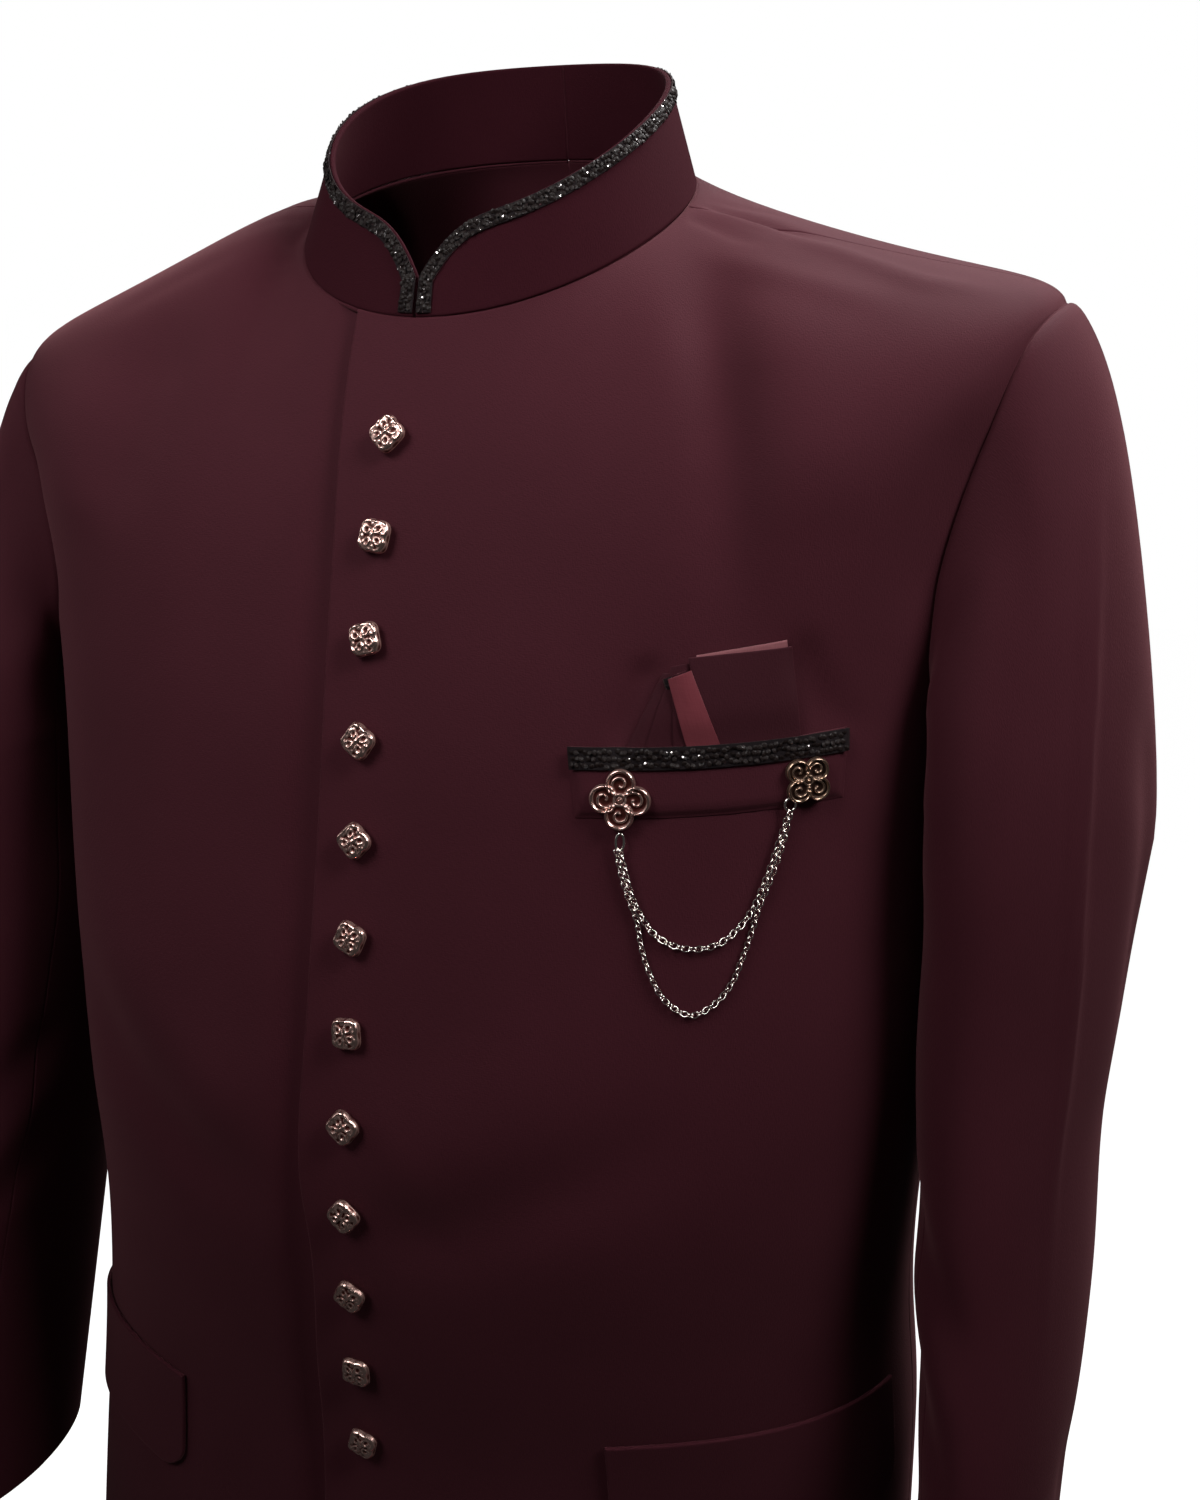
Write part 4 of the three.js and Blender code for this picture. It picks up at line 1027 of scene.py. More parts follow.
def stand_frame(x, z, turn=0.0):
    """Centre and directions of a hard piece set on the left front."""
    point, normal = front_places(np.array(float(x)), np.array(float(z)))
    right = unit(np.cross((0, 0, 1.0), normal))
    up = np.cross(normal, right)
    c, s = math.cos(turn), math.sin(turn)
    return point, right * c + up * s, up * c - right * s, normal


def relief_disc(name, place, lift, outline, profile, relief, rings, around):
    """A closed disc whose profile runs from the middle of its underside out and over to its top."""
    point, right, up, normal = place
    turn = np.linspace(0, 2 * math.pi, around, endpoint=False)[None]
    share, height = np.array(profile, float).T
    radius = outline(turn)
    length = np.concatenate([[0], np.cumsum(np.hypot(np.diff(share) * radius.mean(), np.diff(height)))])
    at = np.linspace(0, length[-1], rings + 2)[1:-1]
    ring, level = (np.interp(at, length, row)[:, None] for row in (share, height))
    x, y = ring * radius * np.cos(turn), ring * radius * np.sin(turn)
    widest = length[np.argmax(share)]
    on_top = smooth_step((at[:, None] - widest) / RELIEF_EASE)
    raised = relief(x, y, ring)
    h = level + on_top * raised
    points = point + x[..., None] * right + y[..., None] * up + (h + lift)[..., None] * normal
    top_height = height[-1] + relief(np.zeros(1), np.zeros(1), 0)[0]
    poles = point + normal * (lift + np.array([height[0], top_height])[:, None])
    sides = tube_faces(rings, around)
    first = np.arange(around)
    second = (first + 1) % around
    base, top = rings * around, rings * around + 1
    last = (rings - 1) * around
    fans = np.concatenate([
        np.stack([second, first, np.full(around, base)], axis=1),
        np.stack([first + last, second + last, np.full(around, top)], axis=1),
    ])
    made = make_mesh(name, np.concatenate([points.reshape(-1, 3), poles]), [sides, fans])
    depth = np.clip(raised / np.max(raised), 0, 1) * on_top + (1 - on_top) * WORN["side"]
    worn = made.data.attributes.new("worn", "FLOAT", "POINT")
    worn.data.foreach_set("value", np.concatenate([depth.ravel(), [WORN["pole"]] * 2]).astype(np.float32))
    return made


def wire(distance, width):
    """A soft round ridge."""
    return np.exp(-((distance / width) ** 2))


# Buttons: domed, rounded squares with a raised rim and four leaves

BUTTON_LOBE = 0.085
# Share of the outline's radius and height, from the underside round to the top
BUTTON_PROFILE = (
    (0, 0), (0.3, 0), (0.34, 1.2), (0.62, 1.35), (0.88, 1.6), (0.985, 2.1), (1, 2.6),
    (0.975, 3.2), (0.9, 3.75), (0.76, 4.2), (0.56, 4.5), (0.3, 4.7), (0, 4.8),
)
BUTTON_RIM = {"at": 0.84, "height": 0.9, "wide": 0.8}
BUTTON_LEAF = {"out": 3.3, "stretch": 1.25, "radius": 1.3, "height": 0.85, "wide": 0.6, "turn": 0.2}
BUTTON_BEAD = {"out": 4.4, "height": 0.8, "wide": 1.0}
BUTTON_BOSS = {"height": 0.95, "wide": 1.1}
BUTTON_UNEVEN = {"broad": 0.34, "fine": 0.1}  # heights of the cast's unevenness
BUTTON_RINGS, BUTTON_AROUND = 34, 72
BUTTON_TURNS = (4, 38, 62, 12, 2, 24, 52, 8, 96, 18, 44, 30)


def button_outline(turn):
    return BUTTON_RADIUS * (1 + BUTTON_LOBE * np.cos(4 * (turn - math.pi / 2)))


def button_relief(x, y, ring):
    """A raised rim, four leaves with a bead between each two, and a boss in the middle."""
    rim, leaf, bead, boss = BUTTON_RIM, BUTTON_LEAF, BUTTON_BEAD, BUTTON_BOSS
    away = np.hypot(x, y)
    height = rim["height"] * wire((ring - rim["at"]) * BUTTON_RADIUS, rim["wide"]) + 0 * away
    for k in range(4):
        turn = math.pi / 2 * k + leaf["turn"]
        out = x * math.cos(turn) + y * math.sin(turn)
        across = y * math.cos(turn) - x * math.sin(turn)
        from_leaf = np.hypot((out - leaf["out"]) / leaf["stretch"], across) - leaf["radius"]
        height = np.maximum(height, leaf["height"] * wire(from_leaf, leaf["wide"]))
        corner = turn + math.pi / 4
        from_bead = np.hypot(x - bead["out"] * math.cos(corner), y - bead["out"] * math.sin(corner))
        height = np.maximum(height, bead["height"] * wire(from_bead, bead["wide"]))
    broad = BUTTON_UNEVEN["broad"] * np.sin(0.9 * x + 0.7) * np.sin(1.1 * y + 0.4)
    uneven = broad + BUTTON_UNEVEN["fine"] * np.sin(2.3 * x) * np.sin(2.9 * y)
    return np.maximum(height, boss["height"] * wire(away, boss["wide"])) + uneven


def button_heights():
    """Heights of the buttons, an even distance apart along the cloth."""
    heights = [FIRST_BUTTON_Z]
    while len(heights) < BUTTON_COUNT:
        ends = np.array([heights[-1], heights[-1] - BUTTON_PITCH])
        a, b = body_point(1, *locate(np.full(2, BUTTON_X), ends))
        heights.append(heights[-1] - BUTTON_PITCH ** 2 / np.linalg.norm(a - b))
    return heights


def make_buttons():
    """All the buttons, each turned its own way."""
    made = []
    for k, (z, turn) in enumerate(zip(button_heights(), BUTTON_TURNS)):
        place = stand_frame(BUTTON_X, z, math.radians(turn))
        made.append(relief_disc(
            f"cast_button_{k + 1:02d}", place, BUTTON_LIFT, button_outline, BUTTON_PROFILE, button_relief,
            BUTTON_RINGS, BUTTON_AROUND,
        ))
    return made


# Brooches: four lobes with a raised rim, a curl in each lobe and a knot in the middle. The wires' sizes
# are those of a brooch whose lobes have the radius given here, and the others are scaled from it

BROOCH_PROFILE = (
    (0, 0), (0.96, 0), (1.0, 0.4), (1.0, 1.1), (0.975, 1.35), (0.93, 1.3), (0.86, 1.2), (0, 1.25),
)
BROOCH_LOBE = 4.9
BROOCH_BRIM = 0.5
LOBE_RIM = {"in": 0.35, "height": 1.5, "wide": 0.52, "from": 0.75, "sink": 3}
CURL = {"start": 0.6, "grow": 0.42, "turn": 2.4, "height": 1.1, "wide": 0.4}
CORNER_KNOT = {"out": 3.1, "height": 1.3, "wide": 0.8}
MIDDLE_LOOP = {"radius": 2.0, "height": 1.1, "wide": 0.36}
MIDDLE_KNOT = {"height": 1.7, "wide": 0.85}
BROOCH_RINGS, BROOCH_AROUND = 46, 144


def make_brooch(name, x, z, lobe, reach, turn):
    """A brooch whose lobes have this radius and stand this far from its middle."""
    scale = lobe / BROOCH_LOBE

    def outline(turn):
        away = np.mod(turn + math.pi / 4, math.pi / 2) - math.pi / 4
        return reach * np.cos(away) + np.sqrt(lobe ** 2 - (reach * np.sin(away)) ** 2) + BROOCH_BRIM

    def lobe_rims(px, py):
        """The rim follows the lobe that is nearest, and stops short of the middle."""
        near = []
        for k in range(4):
            way = math.pi / 2 * k
            from_lobe = np.hypot(px - reach * math.cos(way), py - reach * math.sin(way))
            near.append(np.abs(from_lobe - (lobe - LOBE_RIM["in"] * scale)))
        inside = np.hypot(px, py) < reach * LOBE_RIM["from"]
        sunk = np.min(near, axis=0) + LOBE_RIM["sink"] * inside
        return LOBE_RIM["height"] * wire(sunk, LOBE_RIM["wide"] * scale)

    def relief(px, py, _ring):
        height = lobe_rims(px, py)
        for k in range(4):
            way = math.pi / 2 * k
            x0, y0 = px - reach * math.cos(way), py - reach * math.sin(way)
            unrolled = np.mod(np.arctan2(y0, x0) - way - CURL["turn"], 2 * math.pi)
            curl = CURL["start"] + CURL["grow"] * unrolled
            from_curl = np.hypot(x0, y0) - curl * scale
            height = np.maximum(height, CURL["height"] * wire(from_curl, CURL["wide"] * scale))
            way += math.pi / 4
            out = CORNER_KNOT["out"] * scale
            knot = np.hypot(px - out * math.cos(way), py - out * math.sin(way))
            height = np.maximum(height, CORNER_KNOT["height"] * wire(knot, CORNER_KNOT["wide"] * scale))
        middle = np.hypot(px, py)
        from_loop = middle - MIDDLE_LOOP["radius"] * scale
        height = np.maximum(height, MIDDLE_LOOP["height"] * wire(from_loop, MIDDLE_LOOP["wide"] * scale))
        return np.maximum(height, MIDDLE_KNOT["height"] * wire(middle, MIDDLE_KNOT["wide"] * scale))

    place = stand_frame(x, z, math.radians(turn))
    return relief_disc(
        name, place, ORNAMENT_LIFT, outline, BROOCH_PROFILE, relief, BROOCH_RINGS, BROOCH_AROUND,
    )


RING_STEPS, RING_SIDES = 40, 12
RING_LIFT = ORNAMENT_LIFT + 0.5


def make_ring(name, x, z, wide, tall):
    """An oval ring of round wire, lying on the cloth below its brooch."""
    point, right, up, normal = stand_frame(x, z)
    turn = np.linspace(0, 2 * math.pi, RING_STEPS, endpoint=False)[:, None]
    tube = np.linspace(0, 2 * math.pi, RING_SIDES, endpoint=False)[None]
    out = RING_WIRE * np.cos(tube)
    h = RING_LIFT + RING_WIRE * np.sin(tube) + 0 * turn
    px, py = (wide + out) * np.cos(turn), (tall + out) * np.sin(turn)
    points = point + px[..., None] * right + py[..., None] * up + h[..., None] * normal
    i, j = np.meshgrid(np.arange(RING_STEPS), np.arange(RING_SIDES), indexing="ij")
    row, row_after = i * RING_SIDES, (i + 1) % RING_STEPS * RING_SIDES
    j_after = (j + 1) % RING_SIDES
    faces = np.stack([row + j, row_after + j, row_after + j_after, row + j_after], axis=-1)
    return make_mesh(name, points.reshape(-1, 3), faces.reshape(-1, 4))


# Node trees


class Value:
    """A socket of a node tree. Sums of values are written as plain expressions."""

    def __init__(self, net, socket):
        self.net = net
        self.socket = socket

    def math(self, operation, *others):
        values = {i: value for i, value in enumerate((self, *others))}
        return self.net.add("ShaderNodeMath", {"operation": operation}, values)

    def __add__(self, other):
        return self.math("ADD", other)

    __radd__ = __add__

    def __mul__(self, other):
        return self.math("MULTIPLY", other)

    __rmul__ = __mul__

    def __sub__(self, other):
        return self.math("SUBTRACT", other)

    def __rsub__(self, other):
        return (self * -1) + other


class Net:
    """Adds nodes to a tree: a node's type, its settings, then the values or links of its sockets."""

    def __init__(self, tree):
        self.tree = tree
        tree.nodes.clear()

    def add(self, kind, settings=None, values=None, out=0):
        node = self.tree.nodes.new(kind)
        for key, value in (settings or {}).items():
            setattr(node, key, value)
        for key, value in (values or {}).items():
            if isinstance(value, Value):
                self.tree.links.new(value.socket, node.inputs[key])
            else:
                node.inputs[key].default_value = value
        return Value(self, node.outputs[out] if len(node.outputs) else None)


# What repeats: sequins on the edgings and links of the chains


def scatter_tree(name, inputs, shape, turned):
    """A tree that sets one shape on every point of a mesh, standing as the point's attributes say."""
    tree = bpy.data.node_groups.new(name, "GeometryNodeTree")
    net = Net(tree)
    tree.interface.new_socket("Geometry", in_out="OUTPUT", socket_type="NodeSocketGeometry")
    tree.interface.new_socket("Geometry", in_out="INPUT", socket_type="NodeSocketGeometry")
    for label, kind in inputs:
        tree.interface.new_socket(label, in_out="INPUT", socket_type=kind)
    source = tree.nodes.new("NodeGroupInput")
    labels = ["Geometry"] + [label for label, kind in inputs]
    given = {label: Value(net, source.outputs[label]) for label in labels}

    def way(attribute):
        return net.add("GeometryNodeInputNamedAttribute", {"data_type": "FLOAT_VECTOR"}, {"Name": attribute})

    stand = net.add("FunctionNodeAlignRotationToVector", {"axis": "Z"}, {"Vector": way("stand")})
    along = net.add(
        "FunctionNodeAlignRotationToVector", {"axis": "X", "pivot_axis": "Z"},
        {"Rotation": stand, "Vector": way("along")},
    )
    rotation = net.add("FunctionNodeRotateRotation", {"rotation_space": "LOCAL"}, {
        "Rotation": along, "Rotate By": turned(net, given),
    })
    copies = net.add("GeometryNodeInstanceOnPoints", None, {
        "Points": given["Geometry"], "Instance": shape(net, given), "Rotation": rotation,
    })
    real = net.add("GeometryNodeRealizeInstances", None, {"Geometry": copies})
    painted = net.add("GeometryNodeSetMaterial", None, {"Geometry": real, "Material": given["Material"]})
    net.add("NodeGroupOutput", None, {"Geometry": painted})
    return tree


def scatter(name, tree, points, stand, along, values):
    """A plain mesh of the tree's shape at every point."""
    places = bpy.data.meshes.new(name + "_places")
    places.vertices.add(len(points))
    places.vertices.foreach_set("co", (points * MM).astype(np.float32).ravel())
    for label, ways in (("stand", stand), ("along", along)):
        attribute = places.attributes.new(label, "FLOAT_VECTOR", "POINT")
        attribute.data.foreach_set("vector", ways.astype(np.float32).ravel())
    holder = bpy.data.objects.new(name + "_places", places)
    bpy.context.scene.collection.objects.link(holder)
    modifier = holder.modifiers.new("repeat", "NODES")
    modifier.node_group = tree
    inputs = [item for item in tree.interface.items_tree if item.in_out == "INPUT"]
    identifiers = {item.name: item.identifier for item in inputs}
    for label, value in values.items():
        modifier[identifiers[label]] = value
    ready = holder.evaluated_get(bpy.context.evaluated_depsgraph_get())
    mesh = bpy.data.meshes.new_from_object(ready)
    mesh.name = name
    bpy.data.objects.remove(holder)
    made = bpy.data.objects.new(name, mesh)
    bpy.context.scene.collection.objects.link(made)
    return made


HALF_TURN = 3.14
SEQUIN_SIDES = 8
LINK_STEPS, LINK_SIDES = 12, 6


def sequin_shape(net, given):
    """A shallow eight-sided cup."""
    cup = net.add("GeometryNodeMeshCone", {"fill_type": "NGON"}, {
        "Vertices": SEQUIN_SIDES, "Radius Top": given["Radius"] * 0.5, "Radius Bottom": given["Radius"],
        "Depth": given["Depth"],
    })
    return net.add("GeometryNodeSetShadeSmooth", None, {"Geometry": cup, "Shade Smooth": False})


def random_tilt(net, given):
    """Any turn about its own axis, and a small tilt."""
    back = {k: given["Tilt"] * -1 for k in (0, 1)}
    low = net.add("ShaderNodeCombineXYZ", None, {**back, 2: -HALF_TURN})
    high = net.add("ShaderNodeCombineXYZ", None, {0: given["Tilt"], 1: given["Tilt"], 2: HALF_TURN})
    tilt = net.add("FunctionNodeRandomValue", {"data_type": "FLOAT_VECTOR"}, {
        0: low, 1: high, "Seed": given["Seed"],
    })
    return net.add("FunctionNodeEulerToRotation", None, {"Euler": tilt})


def link_shape(net, given):
    """One oval link of round wire."""
    loop = net.add("GeometryNodeCurvePrimitiveCircle", None, {"Resolution": LINK_STEPS, "Radius": 1.0})
    size = net.add("ShaderNodeCombineXYZ", None, {0: given["Length"] * 0.5, 1: given["Width"] * 0.5, 2: 1.0})
    oval = net.add("GeometryNodeTransform", None, {"Geometry": loop, "Scale": size})
    section = net.add(
        "GeometryNodeCurvePrimitiveCircle", None, {"Resolution": LINK_SIDES, "Radius": given["Wire"]},
    )
    tube = net.add("GeometryNodeCurveToMesh", None, {"Curve": oval, "Profile Curve": section})
    return net.add("GeometryNodeSetShadeSmooth", None, {"Geometry": tube, "Shade Smooth": True})


def link_turn(net, given):
    """Each link is turned a little across the chain."""
    turn = net.add("ShaderNodeCombineXYZ", None, {0: 0.0, 1: 0.0, 2: given["Yaw"]})
    return net.add("FunctionNodeEulerToRotation", None, {"Euler": turn})


FLOAT, WHOLE, MATERIAL = "NodeSocketFloat", "NodeSocketInt", "NodeSocketMaterial"
SEQUIN_TREE = scatter_tree("sequins", (
    ("Radius", FLOAT), ("Depth", FLOAT), ("Tilt", FLOAT), ("Seed", WHOLE), ("Material", MATERIAL),
), sequin_shape, random_tilt)
LINK_TREE = scatter_tree("links", (
    ("Length", FLOAT), ("Width", FLOAT), ("Wire", FLOAT), ("Yaw", FLOAT), ("Material", MATERIAL),
), link_shape, link_turn)


# Edgings: a band of cloth with rows of sequins on it

BAND_WALL = 0.5
SEQUIN = {"Radius": 1.15 * MM, "Depth": 0.3 * MM, "Tilt": 0.58}
SEQUIN_STEP = 1.85
SEQUIN_ENDS = (1.0, 0.9)  # millimetres left bare at a row's two ends
SEQUIN_STAND = 0.12
ROW_FINE = 1400
BAND_STEP = 1.6
ROW_INSET = 0.002  # share of the band that its rows leave bare at each end
SEQUIN_ROWS = (0.22, 0.5, 0.78)  # shares of the band's width
SEQUIN_STRAY = 0.5


def sequin_rows(name, surface, distances, material, seed, ends):
    """Sequins in staggered rows on a surface that gives points and normals at a distance and a share."""
    points, stands, ways = [], [], []
    stray = np.random.default_rng(seed)
    for row, distance in enumerate(distances):
        fine = np.linspace(*ends, ROW_FINE)
        length = run_lengths(surface(distance, fine)[0][None], 1)[0]
        first = SEQUIN_ENDS[0] + SEQUIN_STEP / 2 * (row % 2)
        at = np.arange(first, length[-1] - SEQUIN_ENDS[1], SEQUIN_STEP)
        share = np.interp(at + stray.uniform(-SEQUIN_STRAY, SEQUIN_STRAY, at.shape), length, fine)
        distance = distance + stray.uniform(-SEQUIN_STRAY, SEQUIN_STRAY, at.shape)
        place, normal = surface(distance, share)
        points.append(place)
        stands.append(normal)
        ways.append(unit(surface(distance, share + 1e-3)[0] - place))
    places, stands, ways = (np.concatenate(rows) for rows in (points, stands, ways))
    values = dict(SEQUIN, Seed=seed, Material=material)
    return scatter(name, SEQUIN_TREE, places, stands, ways, values)


def beaded_band(name, surface, width, from_distance, lift, finishes, seed, columns, ends):
    """A closed band between two distances of a surface, with its sequins, as one piece."""
    depth = from_distance + spaced(width, BAND_STEP) - EDGE_STEPS[0]
    share = np.linspace(*ends, columns)
    depth, share = np.meshgrid(depth, share, indexing="ij")
    points, normals = surface(depth, share)
    band = lay_band("band", points, normals, lift, BAND_WALL)
    finish_with(band, finishes["band"], finishes["band"])

    def on_band(distance, share):
        place, normal = surface(distance + 0 * share, share)
        return place + normal * (lift + BAND_WALL + SEQUIN_STAND), normal

    distances = from_distance + width * np.array(SEQUIN_ROWS)
    row_ends = ends[0] + ROW_INSET, ends[1] - ROW_INSET
    beads = sequin_rows("beads", on_band, distances, finishes["sequins"], seed, row_ends)
    return joined(name, [band, beads])


# Chains

# Sizes of a link on a chain of this radius, and how far links lean: on the others they are scaled
CHAIN_RADIUS = 1.2
LINKS = {"length": 3.4, "width": 2.3, "wire": 0.31, "step": 2.3, "roll": 0.8, "yaw": 0.4}
CHAIN_FINE = 401
CHAIN_APART = {"from": 0.12, "to": 0.62, "over": 0.18}  # shares of the length where a chain runs alone
LINK_REACH = 0.6  # how far before and after a link its direction is read


def smooth_line(points, count):
    """Even steps on a smooth line through points."""
    places = np.array(points, float)
    reach = run_lengths(places[None], 1)[0]
    rows = {"z": reach, "along": places[:, 0], "up": places[:, 1]}
    at = np.linspace(0, reach[-1], count)
    return read_table(rows, "along", at), read_table(rows, "up", at)


def make_chain(name, material, radius, over, route):
    """A chain lying on the cloth: where two run together, one lies over the other by a height."""
    points, normals = front_places(*smooth_line(route, CHAIN_FINE))
    share = np.linspace(0, 1, CHAIN_FINE)[:, None]
    parts, meets = (smooth_step((share - CHAIN_APART[end]) / CHAIN_APART["over"]) for end in ("from", "to"))
    alone = parts - meets
    points = points + normals * (radius + LAY_GAP + over * (1 - alone))
    length = run_lengths(points[None], 1)[0]
    scale = radius / CHAIN_RADIUS
    count = int(round(length[-1] / (LINKS["step"] * scale)))
    at = (np.arange(count) + 0.5) * length[-1] / count
    before, after = (along_line(points, length, at + reach) for reach in (-LINK_REACH, LINK_REACH))
    ahead = unit(after - before)
    up = unit(along_line(normals, length, at))
    roll = np.where(np.arange(count) % 2, 1, -1)[:, None] * LINKS["roll"]
    stand = up * np.cos(roll) + unit(np.cross(ahead, up)) * np.sin(roll)
    return scatter(name, LINK_TREE, along_line(points, length, at), stand, ahead, {
        "Length": LINKS["length"] * scale * MM, "Width": LINKS["width"] * scale * MM,
        "Wire": LINKS["wire"] * scale * MM, "Yaw": LINKS["yaw"], "Material": material,
    })


# Materials


def new_material(name):
    """A material and its empty tree."""
    material = bpy.data.materials.new(name)
    material.use_nodes = True
    return material, Net(material.node_tree)


def noise(net, place, scale, detail):
    values = {"Vector": place, "Scale": scale, "Detail": detail}
    return net.add("ShaderNodeTexNoise", {"noise_dimensions": "3D"}, values)


def mixed(net, share, low, high):
    """A colour between two, by a share."""
    return net.add("ShaderNodeMix", {"data_type": "RGBA"}, {0: share, 6: low, 7: high}, out=2)


def stretched(net, place, by):
    """Places made longer or shorter along each axis."""
    return net.add("ShaderNodeVectorMath", {"operation": "MULTIPLY"}, {0: place, 1: by})


SHEEN_ROUGHNESS = 0.42
METAL_GLOSS = 0.25
THREADS = {"warp": 0.55, "weft": 0.45}
TONE = {"drift": 0.75, "threads": 1.1, "less": 0.42}
ROUGHNESS_SPREAD = 0.12
GLINT_FROM = 0.69  # of the noise, above which a sequin catches the light
SEQUIN_ROUGHNESS = {"dull": 0.50, "less": 0.34}
SMOOTH_WEAR = {"cloud": 0.5, "more": 0.6}  # wear of metal that has no relief
WEAR = {"worn": 2.3, "cloud": 0.6, "less": 0.62}
METAL_ROUGHNESS = {"worn": -0.22, "more": 0.2}


def cloth_material(name, dark, light, roughness, weave, sheen):
    """Woven wool or satin: crossing threads as fine bumps, and a drift of tone over the piece."""
    material, net = new_material(name)
    flat = net.add("ShaderNodeUVMap", {"uv_map": "cloth"})
    solid = net.add("ShaderNodeTexCoord", out="Object")
    warp_places = stretched(net, flat, (weave["across"], weave["along"], 1))
    weft_places = stretched(net, flat, (weave["along"], weave["across"], 1))
    warp = noise(net, warp_places, scale=1.0, detail=1.0)
    weft = noise(net, weft_places, scale=1.0, detail=1.0)
    threads = warp * THREADS["warp"] + weft * THREADS["weft"]
    drift = noise(net, solid, scale=16.0, detail=3.0)
    tone = drift * TONE["drift"] + threads * TONE["threads"] - TONE["less"]
    bump = net.add("ShaderNodeBump", None, {
        "Strength": weave["strength"], "Distance": weave["depth"], "Height": threads,
    })
    shader = net.add("ShaderNodeBsdfPrincipled", None, {
        "Base Color": mixed(net, tone, dark, light),
        "Roughness": threads * ROUGHNESS_SPREAD + (roughness - ROUGHNESS_SPREAD / 2),
        "Normal": bump,
        "Specular IOR Level": sheen["gloss"],
        "Sheen Weight": sheen["weight"],
        "Sheen Roughness": SHEEN_ROUGHNESS,
        "Sheen Tint": sheen["tint"],
    })
    net.add("ShaderNodeOutputMaterial", None, {"Surface": shader})
    return material


def sequin_material():
    """Black sequins, of which a few catch the light."""
    material, net = new_material("black_sequins")
    solid = net.add("ShaderNodeTexCoord", out="Object")
    drift = noise(net, solid, scale=420.0, detail=1.0)
    bright = (drift - GLINT_FROM).math("GREATER_THAN", 0.0)
    shader = net.add("ShaderNodeBsdfPrincipled", None, {
        "Base Color": mixed(net, bright, (0.013, 0.0070, 0.0062, 1), (0.80, 0.74, 0.74, 1)),
        "Metallic": bright,
        "Roughness": SEQUIN_ROUGHNESS["dull"] - bright * SEQUIN_ROUGHNESS["less"],
        "Specular IOR Level": METAL_GLOSS,
    })
    net.add("ShaderNodeOutputMaterial", None, {"Surface": shader})
    return material


def metal_material(name, dark, bright, roughness, relief):
    """Cast metal: dark in its hollows and rubbed bright where it stands out."""
    material, net = new_material(name)
    solid = net.add("ShaderNodeTexCoord", out="Object")
    grain = noise(net, solid, scale=900.0, detail=3.0)
    cloud = noise(net, solid, scale=240.0, detail=2.0)
    if relief:
        worn = net.add("ShaderNodeAttribute", {"attribute_name": "worn"}, out="Fac")
    else:
        worn = cloud * SMOOTH_WEAR["cloud"] + SMOOTH_WEAR["more"]
    wear = worn * WEAR["worn"] + cloud * WEAR["cloud"] - WEAR["less"]
    share = wear.math("MAXIMUM", 0.0).math("MINIMUM", 1.0)
    bump = net.add("ShaderNodeBump", None, {
        "Strength": 0.35 if relief else 0.0, "Distance": 0.0002, "Height": grain + cloud,
    })
    shader = net.add("ShaderNodeBsdfPrincipled", None, {
        "Base Color": mixed(net, share, dark, bright),
        "Metallic": share * 0.5 + 0.5,
        "Roughness": (share * METAL_ROUGHNESS["worn"]) + (roughness + METAL_ROUGHNESS["more"]),
        "Specular IOR Level": METAL_GLOSS,
        "Normal": bump,
    })
    net.add("ShaderNodeOutputMaterial", None, {"Surface": shader})
    return material


# Cells of the noise to a metre across and along a thread, and the strength and depth of the bump
WEAVE = {"across": 2000, "along": 600, "strength": 0.6, "depth": 0.0003}
SATIN_WEAVE = {"across": 2600, "along": 120, "strength": 0.25, "depth": 0.0002}
WOOL_SHEEN = {"gloss": 0.12, "weight": 0.17, "tint": (1.0, 0.44, 0.47, 1)}
SATIN_SHEEN = {"gloss": 0.25, "weight": 0.08, "tint": (1.0, 0.7, 0.72, 1)}

wool = cloth_material(
    "wine_suiting", (0.049, 0.0085, 0.0140, 1), (0.0745, 0.0147, 0.0233, 1), 0.78, WEAVE, WOOL_SHEEN,
)
# Painted shade: the collar's cloth is the suiting darkened, for the lesser light that falls on the collar
collar_wool_painted_shade = cloth_material(
    "wine_collar_painted_shade", (0.030, 0.0055, 0.0090, 1), (0.046, 0.0090, 0.0144, 1), 0.78, WEAVE,
    dict(WOOL_SHEEN, weight=0.03, gloss=0.03),
)
lining = cloth_material(
    "wine_lining", (0.040, 0.007, 0.011, 1), (0.058, 0.012, 0.017, 1), 0.5, SATIN_WEAVE, SATIN_SHEEN,
)
square_cloth = cloth_material(
    "square_twill", (0.041, 0.0076, 0.0122, 1), (0.061, 0.0130, 0.0200, 1), 0.74, WEAVE, WOOL_SHEEN,
)
# Painted highlight: a lighter, pinker satin for the strip that catches the light
satin = cloth_material(
    "satin_strip_painted_highlight", (0.15, 0.028, 0.038, 1), (0.24, 0.055, 0.068, 1), 0.36, SATIN_WEAVE, SATIN_SHEEN,
)
# Painted highlight: a pale satin for the top edge of the square's back fold, where it catches the light
satin_edge_painted_highlight = cloth_material(
    "satin_edge_painted_highlight", (0.22, 0.075, 0.085, 1), (0.36, 0.14, 0.155, 1), 0.42, SATIN_WEAVE, SATIN_SHEEN,
)
band_cloth = cloth_material(
    "black_band", (0.010, 0.007, 0.008, 1), (0.018, 0.013, 0.014, 1), 0.8, WEAVE,
    dict(WOOL_SHEEN, weight=0.1),
)
sequins = sequin_material()
pewter = metal_material("rubbed_pewter", (0.085, 0.018, 0.014, 1), (1.0, 0.66, 0.58, 1), 0.24, True)
bronze = metal_material("rubbed_bronze", (0.040, 0.017, 0.011, 1), (0.66, 0.44, 0.32, 1), 0.26, True)
links = metal_material("grey_links", (0.05, 0.032, 0.028, 1), (0.97, 0.88, 0.83, 1), 0.12, False)

# Assembly

